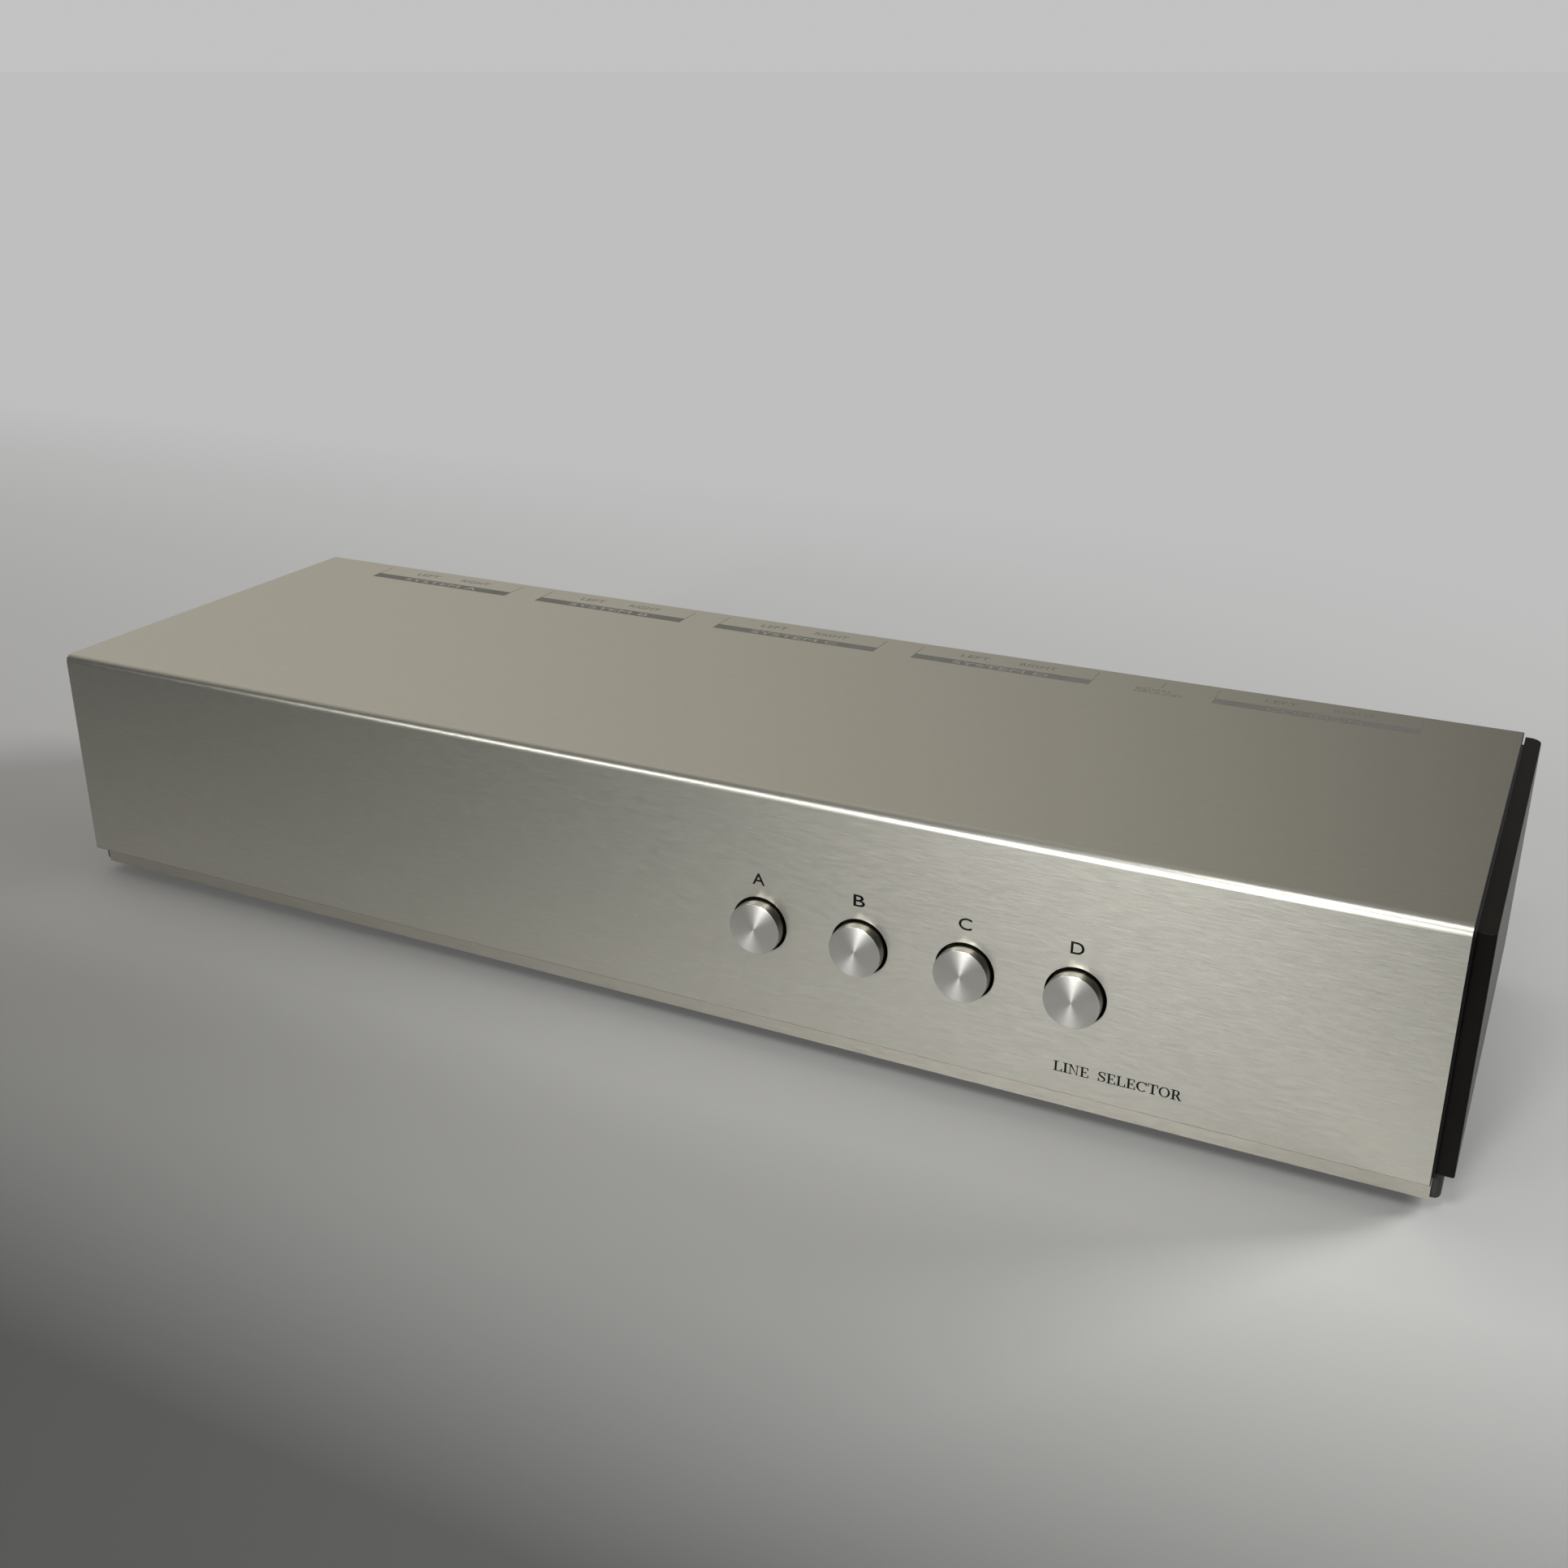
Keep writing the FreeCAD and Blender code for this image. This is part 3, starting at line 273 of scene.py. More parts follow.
def spun_metal(name, dark, light, rough_low, rough_high):
    """Turned cap: rings around the button's axis on its satin face, and a smoother side painted darker as
    shade.
    """
    material = new_material(name)
    shader = shader_of(material)
    shader.inputs["Metallic"].default_value = 1.0
    shader.inputs["Anisotropic"].default_value = spun_anisotropy
    shader.inputs["Anisotropic Rotation"].default_value = 0.25
    tangent = add_node(material, "ShaderNodeTangent", direction_type="RADIAL", axis="Y")
    join_nodes(material, tangent.outputs["Tangent"], shader.inputs["Tangent"])
    place = add_node(material, "ShaderNodeTexCoord")
    centred = add_node(material, "ShaderNodeVectorMath", operation="SUBTRACT")
    centred.inputs[1].default_value = (0.5, 0.5, 0.5)
    join_nodes(material, place.outputs["Generated"], centred.inputs[0])
    flat = add_node(material, "ShaderNodeVectorMath", operation="MULTIPLY")
    flat.inputs[1].default_value = (1.0, 0.0, 1.0)
    join_nodes(material, centred.outputs["Vector"], flat.inputs[0])
    radius = add_node(material, "ShaderNodeVectorMath", operation="LENGTH")
    join_nodes(material, flat.outputs["Vector"], radius.inputs[0])
    rings_place = add_node(material, "ShaderNodeCombineXYZ")
    join_nodes(material, radius.outputs["Value"], rings_place.inputs["X"])
    rings = noise(material, rings_place.outputs["Vector"], scale=ring_repeats, detail=4)
    face = facing(material, "Y", 0.80, 0.97)
    # The side's darker colour is painted shade
    colour = blended(material, face, cap_side_shade_colour, light)
    face_colour = blended(material, ranged(material, rings, 0, 1), dark, light)
    join_nodes(material, face_colour, colour.node.inputs["B"])
    join_nodes(material, colour, shader.inputs["Base Color"])
    face_roughness = ranged(material, rings, rough_low, rough_high)
    roughness = mixed(material, face, cap_side_roughness, face_roughness)
    join_nodes(material, roughness, shader.inputs["Roughness"])
    add_bump(material, rings, fine_bump)
    return material


looks = {
    "brushed_front_metal": brushed_metal(
        "brushed_front_metal", (0.50, 0.490, 0.433), (0.57, 0.559, 0.50), 0.30, 0.34
    ),
    "button_metal": spun_metal("button_metal", (0.61, 0.605, 0.57), (0.71, 0.705, 0.67), 0.29, 0.35),
    "dark_cheek": coated(
        "dark_cheek", (0.004, 0.0035, 0.0025), (0.006, 0.0055, 0.004), 0.28, 0.36, gloss=0.12
    ),
    "black_sheet": coated(
        "black_sheet", (0.016, 0.016, 0.016), (0.026, 0.025, 0.024), 0.5, 0.65, grain=1400, bump=0.00003
    ),
    "black_screws": plain_metal("black_screws", (0.03, 0.03, 0.03), (0.06, 0.06, 0.06), 0.3, 0.45),
    "foot_rubber": coated("foot_rubber", (0.014, 0.014, 0.014), (0.024, 0.023, 0.022), 0.7, 0.85),
    "plated_sheet": plain_metal("plated_sheet", (0.50, 0.50, 0.48), (0.64, 0.63, 0.60), 0.32, 0.5),
    "plated_fasteners": plain_metal("plated_fasteners", (0.56, 0.55, 0.50), (0.70, 0.68, 0.62), 0.25, 0.4),
    "plunger_plastic": coated("plunger_plastic", (0.72, 0.69, 0.60), (0.80, 0.77, 0.69), 0.4, 0.55),
    "contact_metal": plain_metal("contact_metal", (0.62, 0.58, 0.45), (0.76, 0.72, 0.60), 0.2, 0.35),
    "spring_wire": plain_metal("spring_wire", (0.50, 0.50, 0.50), (0.66, 0.66, 0.65), 0.2, 0.35),
    "housing_plastic": coated("housing_plastic", (0.02, 0.02, 0.021), (0.035, 0.035, 0.036), 0.4, 0.55),
    "board": coated("board", (0.33, 0.19, 0.08), (0.42, 0.26, 0.12), 0.45, 0.6),
    "gold_plate": plain_metal("gold_plate", (0.78, 0.56, 0.22), (0.88, 0.68, 0.33), 0.16, 0.26),
    "white_insulator": coated("white_insulator", (0.72, 0.71, 0.66), (0.80, 0.79, 0.74), 0.3, 0.4),
    "red_insulator": coated("red_insulator", (0.42, 0.018, 0.014), (0.52, 0.026, 0.02), 0.3, 0.4),
    "lead_jacket": coated("lead_jacket", (0.06, 0.06, 0.065), (0.1, 0.1, 0.105), 0.45, 0.6),
    "nickel_plate": plain_metal("nickel_plate", (0.62, 0.59, 0.54), (0.74, 0.71, 0.66), 0.14, 0.26),
}
black_ink = coated("black_ink", (0.004, 0.004, 0.004), (0.007, 0.007, 0.007), 0.55, 0.7, gloss=0.1)
grey_ink = coated("grey_ink", (0.15, 0.145, 0.13), (0.18, 0.175, 0.16), 0.5, 0.65)

for subpart in frame["record"]["subparts"]:
    piece = frame["nodes"][subpart["node"]]
    for slot in piece.material_slots:
        slot.material = looks[subpart["material_slot"]]
# The strip under the front is brushed like it and a little darker
strip_metal = brushed_metal("strip_metal", (0.40, 0.38, 0.33), (0.46, 0.44, 0.385), 0.36, 0.44)
for slot in frame["nodes"]["front_plinth_strip"].material_slots:
    slot.material = strip_metal


# Mesh helpers

def new_piece(name, mesh, material, body):
    piece = bpy.data.objects.new(name, mesh)
    scene.collection.objects.link(piece)
    mesh.materials.clear()
    mesh.materials.append(material)
    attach(piece, body)
    return piece


def word_mesh(text, height, width, place, right, up, start="centre", weight=0.0):
    """Flat letters of this height and width. place is the middle or, for "left", the start of their base."""
    curve = bpy.data.curves.new("word", "FONT")
    curve.body = text
    curve.offset = weight
    holder = bpy.data.objects.new("word", curve)
    scene.collection.objects.link(holder)
    bpy.context.view_layer.update()
    mesh = bpy.data.meshes.new_from_object(holder)
    bpy.data.objects.remove(holder)
    low_u = min(v.co.x for v in mesh.vertices)
    high_u = max(v.co.x for v in mesh.vertices)
    low_v = min(v.co.y for v in mesh.vertices)
    high_v = max(v.co.y for v in mesh.vertices)
    scale_v = height / (high_v - low_v)
    scale_u = width / (high_u - low_u)
    origin_u = low_u if start == "left" else (low_u + high_u) / 2
    for vertex in mesh.vertices:
        u = (vertex.co.x - origin_u) * scale_u
        v = (vertex.co.y - low_v) * scale_v
        vertex.co = Vector(place) + Vector(right) * u + Vector(up) * v
    return mesh


def block(left, low, right, high):
    """Upright rectangle, made a little wider than its numbers on every side, as ink is."""
    left, low = left - ink_spread, low - ink_spread
    right, high = right + ink_spread, high + ink_spread
    return [(left, low), (right, low), (right, high), (left, high)]


def ribbon(points, halves):
    """Strip of four-sided pieces along points, as wide at each as twice its half."""
    sides = []
    for i, (u, v) in enumerate(points):
        ahead = points[min(i + 1, len(points) - 1)]
        behind = points[max(i - 1, 0)]
        run_u, run_v = ahead[0] - behind[0], ahead[1] - behind[1]
        run = math.hypot(run_u, run_v)
        step_u, step_v = -run_v / run * halves[i], run_u / run * halves[i]
        sides.append(((u + step_u, v + step_v), (u - step_u, v - step_v)))
    return [[first[0], first[1], second[1], second[0]] for first, second in zip(sides, sides[1:])]


def bowl(centre, radii, walls, start, end):
    """Part of a ring between two ellipses, from start to end degrees, in steps of about 15 degrees."""
    count = max(3, round(abs(end - start) / 15))
    pieces = []
    for i in range(count):
        corners = []
        for step, inner in ((i, False), (i + 1, False), (i + 1, True), (i, True)):
            angle = math.radians(start + (end - start) * step / count)
            radius_u = radii[0] - (walls[0] if inner else 0)
            radius_v = radii[1] - (walls[1] if inner else 0)
            corner_u = centre[0] + radius_u * math.cos(angle)
            corner_v = centre[1] + radius_v * math.sin(angle)
            corners.append((corner_u, corner_v))
        pieces.append(corners)
    return pieces


def serif_letter(letter):
    """Width and polygons of a letter with thick stems and thin serifs, one unit high."""
    foot, head = 0.055, 0.945
    if letter == "L":
        serifs = [block(0, 0, 0.78, foot), block(0.70, 0, 0.78, 0.28), block(0, head, 0.41, 1)]
        return 0.80, [block(0.12, 0, 0.29, 1)] + serifs
    if letter == "I":
        return 0.42, [block(0.125, 0, 0.295, 1), block(0, 0, 0.42, foot), block(0, head, 0.42, 1)]
    if letter == "N":
        slant = [(0.06, 1), (0.26, 1), (0.80, 0), (0.76, 0)]
        serifs = [block(0, head, 0.24, 1), block(0, 0, 0.32, foot), block(0.62, head, 0.96, 1)]
        return 0.96, [block(0.13, 0, 0.19, 1), block(0.75, 0, 0.81, 1), slant] + serifs
    if letter == "E":
        bars = [block(0, head, 0.72, 1), block(0.29, 0.47, 0.56, 0.53), block(0, 0, 0.78, foot)]
        ticks = [block(0.65, 0.74, 0.72, 1), block(0.51, 0.38, 0.56, 0.62), block(0.71, 0, 0.78, 0.28)]
        return 0.80, [block(0.12, 0, 0.29, 1)] + bars + ticks
    if letter == "S":
        bends = [(0.62, 0.76), (0.57, 0.89), (0.46, 0.96), (0.34, 0.97), (0.20, 0.92), (0.13, 0.82)]
        bends += [(0.12, 0.71), (0.20, 0.60), (0.36, 0.52), (0.52, 0.44), (0.62, 0.34), (0.62, 0.21)]
        bends += [(0.54, 0.09), (0.40, 0.03), (0.26, 0.04), (0.15, 0.12), (0.09, 0.26)]
        halves = [0.03, 0.03, 0.03, 0.035, 0.05, 0.07, 0.08, 0.085, 0.09]
        halves += [0.09, 0.085, 0.07, 0.05, 0.035, 0.03, 0.03, 0.03]
        return 0.72, ribbon(bends, halves) + [block(0.60, 0.68, 0.66, 1), block(0.05, 0, 0.11, 0.32)]
    if letter == "C":
        return 0.92, bowl((0.50, 0.5), (0.50, 0.51), (0.19, 0.08), 38, 318) + [block(0.82, 0.66, 0.88, 1)]
    if letter == "T":
        ticks = [block(0, 0.70, 0.07, 1), block(0.83, 0.70, 0.90, 1)]
        return 0.90, [block(0.365, 0, 0.535, 1), block(0, head, 0.90, 1), block(0.24, 0, 0.66, foot)] + ticks
    if letter == "O":
        return 0.98, bowl((0.49, 0.5), (0.49, 0.51), (0.185, 0.075), 0, 360)
    # The one letter left is R
    leg = [(0.40, 0.50), (0.60, 0.50), (0.90, 0), (0.70, 0)]
    serifs = [block(0, 0, 0.43, foot), block(0, head, 0.48, 1)]
    serifs += [block(0.31, 0.47, 0.48, 0.525), block(0.70, 0, 0.96, foot)]
    upper_bowl = bowl((0.48, 0.735), (0.27, 0.27), (0.18, 0.075), -90, 90)
    return 0.96, [block(0.13, 0, 0.30, 1), leg] + serifs + upper_bowl


def serif_mesh(text, height, width, place, right, up):
    """Flat serif letters of this cap height, stretched to this width. place is the start of their base."""
    gap, space = 0.07, 0.73
    polygons = []
    reach = 0.0
    for letter in text:
        if letter == " ":
            reach += space
            continue
        letter_width, pieces = serif_letter(letter)
        polygons += [[(u + reach, v) for u, v in piece] for piece in pieces]
        reach += letter_width + gap
    scale_u = width / (reach - gap)
    points = []
    faces = []
    for polygon in polygons:
        faces.append(range(len(points), len(points) + len(polygon)))
        points += [Vector(place) + Vector(right) * u * scale_u + Vector(up) * v * height for u, v in polygon]
    mesh = bpy.data.meshes.new("serif_word")
    mesh.from_pydata([tuple(p) for p in points], [], faces)
    return mesh


def bar_mesh(x0, x1, a0, a1, place, right, up):
    """Flat rectangle between two distances along right and along up."""
    mesh = bpy.data.meshes.new("bar")
    corners = [(x0, a0), (x1, a0), (x1, a1), (x0, a1)]
    points = [Vector(place) + Vector(right) * u + Vector(up) * v for u, v in corners]
    mesh.from_pydata([tuple(p) for p in points], [], [(0, 1, 2, 3)])
    return mesh


def thick_piece(name, meshes, thickness, normal, material, body):
    """Joins flat meshes and gives them this thickness along normal."""
    build = bmesh.new()
    for mesh in meshes:
        build.from_mesh(mesh)
    bmesh.ops.remove_doubles(build, verts=build.verts, dist=1e-7)
    faces = list(build.faces)
    made = bmesh.ops.extrude_face_region(build, geom=faces)
    moved = [item for item in made["geom"] if isinstance(item, bmesh.types.BMVert)]
    bmesh.ops.translate(build, verts=moved, vec=Vector(normal) * thickness)
    bmesh.ops.recalc_face_normals(build, faces=build.faces)
    mesh = bpy.data.meshes.new(name)
    build.to_mesh(mesh)
    build.free()
    return new_piece(name, mesh, material, body)


def tube_mesh(name, points, radius, sides=12):
    """Round wire along points, closed at both ends."""
    build = bmesh.new()
    rings = []
    count = len(points)
    normal = None
    for i, point in enumerate(points):
        ahead = points[min(i + 1, count - 1)] - points[max(i - 1, 0)]
        ahead.normalize()
        if normal is None:
            normal = ahead.orthogonal().normalized()
        normal = (normal - ahead * normal.dot(ahead)).normalized()
        side = ahead.cross(normal)
        ring = []
        for k in range(sides):
            angle = 2 * math.pi * k / sides
            outwards = normal * radius * math.cos(angle) + side * radius * math.sin(angle)
            ring.append(build.verts.new(point + outwards))
        rings.append(ring)
    for first, second in zip(rings, rings[1:]):
        for k in range(sides):
            following = (k + 1) % sides
            build.faces.new((first[k], first[following], second[following], second[k]))
    build.faces.new(list(reversed(rings[0])))
    build.faces.new(rings[-1])
    bmesh.ops.recalc_face_normals(build, faces=build.faces)
    mesh = bpy.data.meshes.new(name)
    build.to_mesh(mesh)
    build.free()
    for face in mesh.polygons:
        face.use_smooth = True
    return mesh


def turned_mesh(name, profile, x, z, sides=128):
    """Solid turned about the line along Y through x and z. Its profile starts and ends on that line."""
    build = bmesh.new()
    rings = []
    for radius, along in profile:
        if radius == 0:
            rings.append([build.verts.new((x, along, z))] * sides)
            continue
        ring = []
        for k in range(sides):
            angle = 2 * math.pi * k / sides
            ring.append(build.verts.new((x + radius * math.cos(angle), along, z + radius * math.sin(angle))))
        rings.append(ring)
    for first, second in zip(rings, rings[1:]):
        for k in range(sides):
            following = (k + 1) % sides
            corners = [first[k], first[following], second[following], second[k]]
            build.faces.new(list(dict.fromkeys(corners)))
    bmesh.ops.recalc_face_normals(build, faces=build.faces)
    mesh = bpy.data.meshes.new(name)
    build.to_mesh(mesh)
    build.free()
    for face in mesh.polygons:
        face.use_smooth = True
    mesh.set_sharp_from_angle(angle=math.radians(30))
    return mesh


# Letters above the buttons and the legend under them
front = (0.0, -1.0, 0.0)
east = (1.0, 0.0, 0.0)
north = (0.0, 1.0, 0.0)
up = (0.0, 0.0, 1.0)
letter_meshes = []
for letter, x, width in zip(letters.upper(), cap_x, letter_widths):
    place = (x + letter_offset, front_y, cover_bottom + letter_rise)
    letter_meshes.append(word_mesh(letter, letter_height, width, place, east, up, weight=letter_weight))
thick_piece("button_letters", letter_meshes, print_lift, front, black_ink, "chassis")
place = (legend_start, front_y, cover_bottom + legend_rise)
legend = serif_mesh("LINE SELECTOR", legend_height, legend_end - legend_start, place, east, up)
thick_piece("function_legend", [legend], print_lift, front, black_ink, "chassis")

# Legends on the top, above the sockets
bar_width = 0.059
bar_near = 0.0150
bar_far = 0.0106
bracket_end = 0.0027
bracket_line = 0.00025
bar_word_height = 0.0026
bar_word_rise = 0.0009
side_word_height = 0.0027
side_word_middle = 0.0057
bar_meshes = []
word_meshes = []
knockout_meshes = []
top_place = (0.0, cover_rear, cover_top)
bar_words = [("SYSTEM " + letter, 0.0316) for letter in letters.upper()] + [("COMMON", 0.0271)]
side_words = [("LEFT", -0.01055, 0.0095), ("RIGHT", 0.01055, 0.0120)]
for x, (word, width) in zip(system_x, bar_words):
    left, right = x - bar_width / 2, x + bar_width / 2
    bar_meshes.append(bar_mesh(left, right, -bar_near, -bar_far, top_place, east, north))
    for edge in (left, right - bracket_line):
        line = bar_mesh(edge, edge + bracket_line, -bar_far, -bracket_end, top_place, east, north)
        bar_meshes.append(line)
    place = (x, cover_rear - bar_near + bar_word_rise, cover_top + print_lift)
    knockout_meshes.append(word_mesh(word, bar_word_height, width, place, east, north))
    for side_word, offset, side_width in side_words:
        place = (x + offset, cover_rear - side_word_middle - side_word_height / 2, cover_top)
        word_meshes.append(word_mesh(side_word, side_word_height, side_width, place, east, north))
thick_piece("socket_bars", bar_meshes, print_lift, up, grey_ink, "chassis")
thick_piece("socket_sides", word_meshes, print_lift, up, grey_ink, "chassis")
metal = looks["brushed_front_metal"]
thick_piece("socket_names", knockout_meshes, print_lift / 2, up, metal, "chassis")

# The ground terminal's two words, each with its height, width and setback, and the tick line behind them
ground_word_start = 0.1046
ground_words = [("SIGNAL", 0.0019, 0.0114, 0.0120), ("GROUND", 0.0022, 0.0147, 0.0147)]
ground_tick_near = 0.0083
ground_meshes = []
for word, height, width, setback in ground_words:
    place = (ground_word_start, cover_rear - setback, cover_top)
    ground_meshes.append(word_mesh(word, height, width, place, east, north, "left"))
tick_left, tick_right = ground_x - bracket_line / 2, ground_x + bracket_line / 2
ground_meshes.append(
    bar_mesh(tick_left, tick_right, -ground_tick_near, -bracket_end, top_place, east, north)
)
thick_piece("ground_legend", ground_meshes, print_lift, up, grey_ink, "chassis")

# Button caps: turned, with a slightly domed face and a fine round rim
cap_dome = 0.0003
cap_rim = 0.00015
cap_wall = 0.0012
cap_face_wall = 0.0025
cap_socket_radius = 0.0036
cap_socket_end = front_y + 0.0060
cap_bore_radius = 0.00201
cap_bore_start = front_y - 0.0006
dome_steps = 10
rim_steps = 6
for letter, x, (low, high) in zip(letters, cap_x, cap_boxes):
    cap_radius = (high[0] - low[0]) / 2
    face_radius = cap_radius - cap_rim
    dome_radius = (face_radius**2 + cap_dome**2) / (2 * cap_dome)
    rim_start = low[1] + cap_dome
    profile = []
    for i in range(dome_steps + 1):
        radius = face_radius * i / dome_steps
        profile.append((radius, low[1] + dome_radius - math.sqrt(dome_radius**2 - radius**2)))
    for i in range(1, rim_steps + 1):
        angle = math.radians(90 / rim_steps * i)
        rim_y = rim_start + cap_rim * (1 - math.cos(angle))
        profile.append((face_radius + cap_rim * math.sin(angle), rim_y))
    inner_radius = cap_radius - cap_wall
    hollow_start = low[1] + cap_face_wall
    profile += [(cap_radius, high[1]), (inner_radius, high[1]), (inner_radius, hollow_start)]
    profile += [(cap_socket_radius, hollow_start), (cap_socket_radius, cap_socket_end)]
    profile += [(cap_bore_radius, cap_socket_end), (cap_bore_radius, cap_bore_start), (0, cap_bore_start)]
    name = "turned_cap_" + letter
    mesh = turned_mesh(name, profile, x, cap_z)
    cap = new_piece(name, mesh, looks["button_metal"], "button_" + letter)
    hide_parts("button_cap_" + letter)

# Return springs: wound wire with one closed turn at each end
spring_turns = 6
spring_wire = 0.00025
spring_steps = 32
end_rise = spring_wire * 2.1
for letter, x in zip(letters, cap_x):
    low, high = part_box("return_spring_" + letter)
    coil_radius = (high[0] - low[0]) / 2 - spring_wire
    y0, y1 = low[1] + spring_wire, high[1] - spring_wire
    points = []
    for i in range((spring_turns + 2) * spring_steps + 1):
        turn = i / spring_steps
        if turn < 1:
            along = y0 + end_rise * turn
        elif turn > spring_turns + 1:
            along = y1 - end_rise * (spring_turns + 2 - turn)
        else:
            along = y0 + end_rise + (y1 - y0 - 2 * end_rise) * (turn - 1) / spring_turns
        angle = 2 * math.pi * turn
        point_x = x + coil_radius * math.cos(angle)
        point_z = cap_z + coil_radius * math.sin(angle)
        points.append(Vector((point_x, along, point_z)))
    mesh = tube_mesh("wound_spring_" + letter, points, spring_wire)
    spring = new_piece("wound_spring_" + letter, mesh, looks["spring_wire"], "chassis")
    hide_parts("return_spring_" + letter)
    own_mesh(spring)


# Floor, lamps and camera

def far_place(aim, side, rise, distance):
    """Point at this distance from aim: side degrees from +Y towards +X, rise degrees above the floor."""
    turn, lift = math.radians(side), math.radians(rise)
    way = Vector((math.sin(turn) * math.cos(lift), math.cos(turn) * math.cos(lift), math.sin(lift)))
    return Vector(aim) + way * distance


# Floor that is pale around and behind the object; well in front of it its colour darkens, painted shade that
# the metal front reflects
painted_shade_tone = (0.11, 0.11, 0.105)
pale_paper = (0.60, 0.60, 0.59)
painted_shade_y = -0.25
pale_paper_y = -0.10
floor_half = 60.0
pale_floor = new_material("pale_floor")
floor_place = add_node(pale_floor, "ShaderNodeTexCoord")
floor_split = add_node(pale_floor, "ShaderNodeSeparateXYZ")
join_nodes(pale_floor, floor_place.outputs["Object"], floor_split.inputs["Vector"])
paleness = ranged(pale_floor, floor_split.outputs["Y"], 0, 1, painted_shade_y, pale_paper_y)
floor_tone = blended(pale_floor, paleness, painted_shade_tone, pale_paper)
join_nodes(pale_floor, floor_tone, shader_of(pale_floor).inputs["Base Color"])
shader_of(pale_floor).inputs["Roughness"].default_value = 0.9

# Behind the object the floor runs over into the backdrop's plain tone, for the camera and in reflections
backdrop_tone = 0.52
backdrop_start_y = -0.05
backdrop_full_y = 0.55
backdrop_light = add_node(pale_floor, "ShaderNodeEmission")
backdrop_light.inputs["Color"].default_value = (backdrop_tone, backdrop_tone, backdrop_tone, 1.0)
rays = add_node(pale_floor, "ShaderNodeLightPath")
seen = rays.outputs["Is Camera Ray"]
for kind in ("Is Glossy Ray", "Is Transmission Ray"):
    either = add_node(pale_floor, "ShaderNodeMath", operation="MAXIMUM")
    join_nodes(pale_floor, seen, either.inputs[0])
    join_nodes(pale_floor, rays.outputs[kind], either.inputs[1])
    seen = either.outputs["Value"]
farness = add_node(pale_floor, "ShaderNodeMath", operation="MULTIPLY")
join_nodes(pale_floor, seen, farness.inputs[0])
beyond = ranged(pale_floor, floor_split.outputs["Y"], 0, 1, backdrop_start_y, backdrop_full_y)
join_nodes(pale_floor, beyond, farness.inputs[1])
floor_mix = add_node(pale_floor, "ShaderNodeMixShader")
join_nodes(pale_floor, farness.outputs["Value"], floor_mix.inputs["Fac"])
join_nodes(pale_floor, shader_of(pale_floor).outputs["BSDF"], floor_mix.inputs[1])
join_nodes(pale_floor, backdrop_light.outputs["Emission"], floor_mix.inputs[2])
floor_output = pale_floor.node_tree.nodes["Material Output"]
join_nodes(pale_floor, floor_mix.outputs["Shader"], floor_output.inputs["Surface"])
floor_mesh = bpy.data.meshes.new("floor")
corner_signs = [(-1, -1), (1, -1), (1, 1), (-1, 1)]
floor_corners = [(u * floor_half, v * floor_half, 0) for u, v in corner_signs]
floor_mesh.from_pydata(floor_corners, [], [(0, 1, 2, 3)])
floor = bpy.data.objects.new("floor", floor_mesh)
scene.collection.objects.link(floor)
floor_mesh.materials.append(pale_floor)

# A dim room: dark walls, a grey ceiling, one soft window behind on the left, and low behind the object
# a strip of the backdrop's tone. Heights are the Z of a direction, from 0 at the horizon to 1 straight up.
wall_tone = 0.02
ceiling_tone = 0.25
ceiling_start = 0.55
strip_low, strip_high = 0.033, 0.06
strip_full_y = 0.3
window_side, window_rise = -52, 24
window_edge = 0.55
window_tone = 0.66
window_tint = (1.0, 0.95, 0.86)
sill_low, sill_high = 0.04, 0.2
world = bpy.data.worlds.new("studio")
world.use_nodes = True
tree = world.node_tree


def world_math(operation, first, second):
    node = tree.nodes.new("ShaderNodeMath")
    node.operation = operation
    for socket, value in zip(node.inputs, (first, second)):
        if isinstance(value, float):
            socket.default_value = value
        else:
            tree.links.new(value, socket)
    return node.outputs["Value"]


def world_range(value, start, end, low, high):
    node = tree.nodes.new("ShaderNodeMapRange")
    node.inputs["From Min"].default_value = start
    node.inputs["From Max"].default_value = end
    node.inputs["To Min"].default_value = low
    node.inputs["To Max"].default_value = high
    tree.links.new(value, node.inputs["Value"])
    return node.outputs["Result"]


direction = tree.nodes.new("ShaderNodeTexCoord")
split = tree.nodes.new("ShaderNodeSeparateXYZ")
tree.links.new(direction.outputs["Generated"], split.inputs["Vector"])
towards_window = tree.nodes.new("ShaderNodeVectorMath")
towards_window.operation = "DOT_PRODUCT"
towards_window.inputs[1].default_value = far_place((0, 0, 0), window_side, window_rise, 1)
tree.links.new(direction.outputs["Generated"], towards_window.inputs[0])
walls = world_range(split.outputs["Z"], ceiling_start, 1.0, wall_tone, ceiling_tone)
strip = world_range(split.outputs["Z"], strip_low, strip_high, backdrop_tone, 0.0)
behind = world_range(split.outputs["Y"], 0.0, strip_full_y, 0.0, 1.0)
room = world_math("ADD", walls, world_math("MULTIPLY", strip, behind))
window = world_range(towards_window.outputs["Value"], window_edge, 1.0, 0.0, window_tone)
sill = world_range(split.outputs["Z"], sill_low, sill_high, 0.0, 1.0)
tinted = tree.nodes.new("ShaderNodeMix")
tinted.data_type = "RGBA"
tinted.blend_type = "ADD"
tinted.clamp_factor = False
tinted.inputs["B"].default_value = (*window_tint, 1.0)
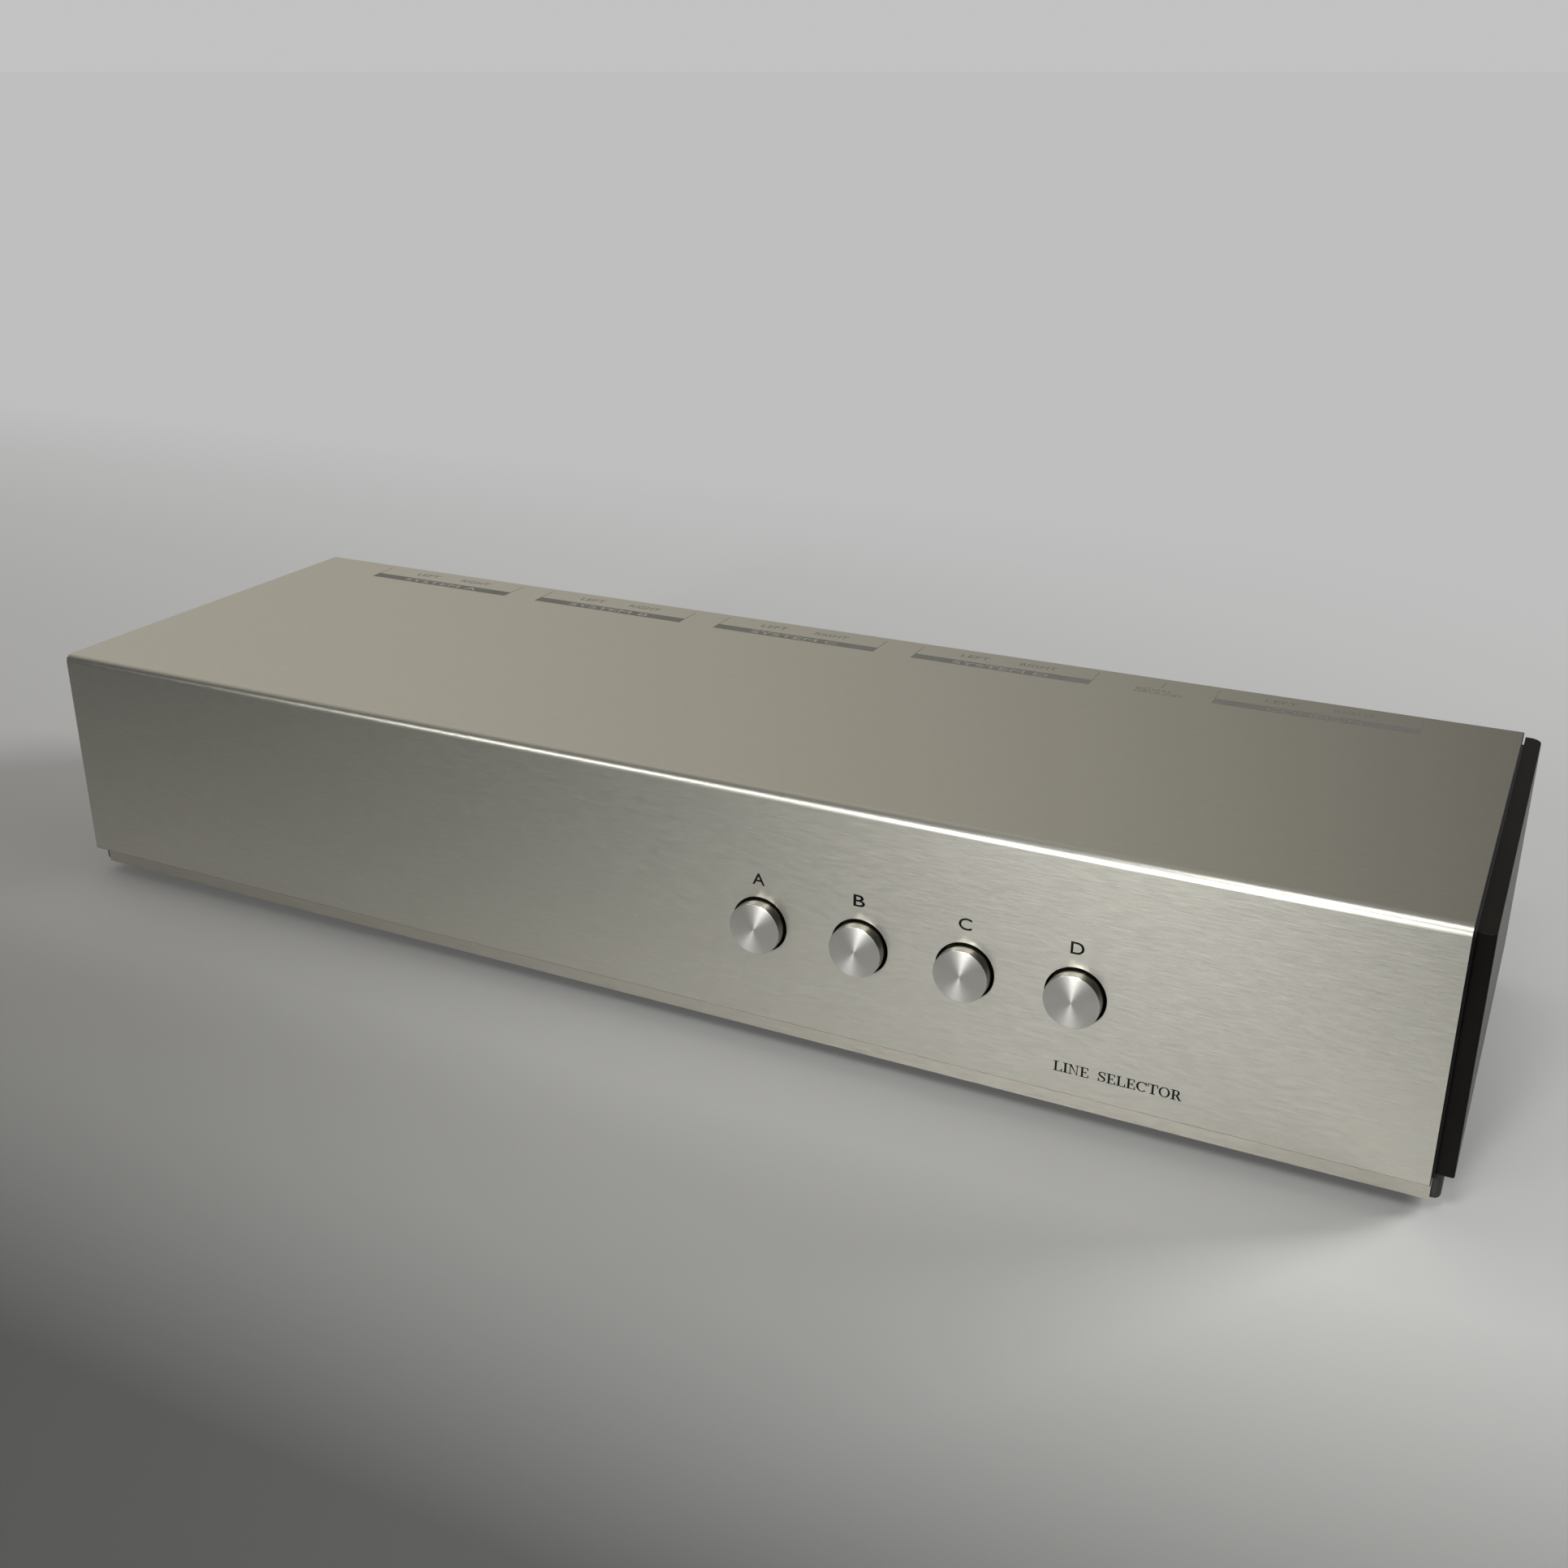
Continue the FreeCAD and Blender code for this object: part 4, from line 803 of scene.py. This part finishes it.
tree.links.new(world_math("MULTIPLY", window, sill), tinted.inputs["Factor"])
tree.links.new(room, tinted.inputs["A"])
tree.links.new(tinted.outputs["Result"], tree.nodes["Background"].inputs["Color"])
scene.world = world


def aim_lamp(lamp, place, aim):
    scene.collection.objects.link(lamp)
    lamp.location = place
    lamp.rotation_euler = (Vector(aim) - Vector(place)).to_track_quat("-Z", "Y").to_euler()
    lamp.visible_camera = False


def soft_lamp(name, place, aim, size, power):
    data = bpy.data.lights.new(name, "AREA")
    data.shape = "RECTANGLE"
    data.size, data.size_y = size
    data.energy = power
    aim_lamp(bpy.data.objects.new(name, data), place, aim)


# Soft lamps, in watts: one from the right for the floor behind, a main one low in front, and a weak one
# in front on the left
lamp_distance = 2.5
back_place = (1.3, 0.95, 0.80)
back_aim = (0.05, 0.45, 0.0)
front_aim = (0.15, -0.07, 0.04)
left_aim = (-0.05, -0.07, 0.07)
front_place = far_place(front_aim, 191.5, 10, lamp_distance)
left_place = far_place(left_aim, 210, 20, lamp_distance)
soft_lamp("back", back_place, back_aim, (0.6, 0.6), 22)
soft_lamp("front", front_place, front_aim, (0.40, 0.50), 38)
soft_lamp("front_left", left_place, left_aim, (0.8, 0.3), 9)

# A soft-edged spot makes a pool of light on the floor in front of the buttons, which their faces reflect
pool_place = (0.13, -0.50, 0.75)
pool_aim = (0.13, -0.15, 0.0)
pool_data = bpy.data.lights.new("pool", "SPOT")
pool_data.energy = 7.5
pool_data.spot_size = math.radians(38)
pool_data.spot_blend = 1.0
pool_data.shadow_soft_size = 0.10
aim_lamp(bpy.data.objects.new("pool", pool_data), pool_place, pool_aim)

camera_data = bpy.data.cameras.new("camera")
camera_data.lens = camera_lens
camera_data.sensor_width = camera_sensor
camera_data.shift_x, camera_data.shift_y = camera_shift
camera_data.clip_start = 0.01
camera = bpy.data.objects.new("camera", camera_data)
scene.collection.objects.link(camera)
camera.location = camera_place
camera.rotation_euler = Euler([math.radians(angle) for angle in camera_turn])
scene.camera = camera
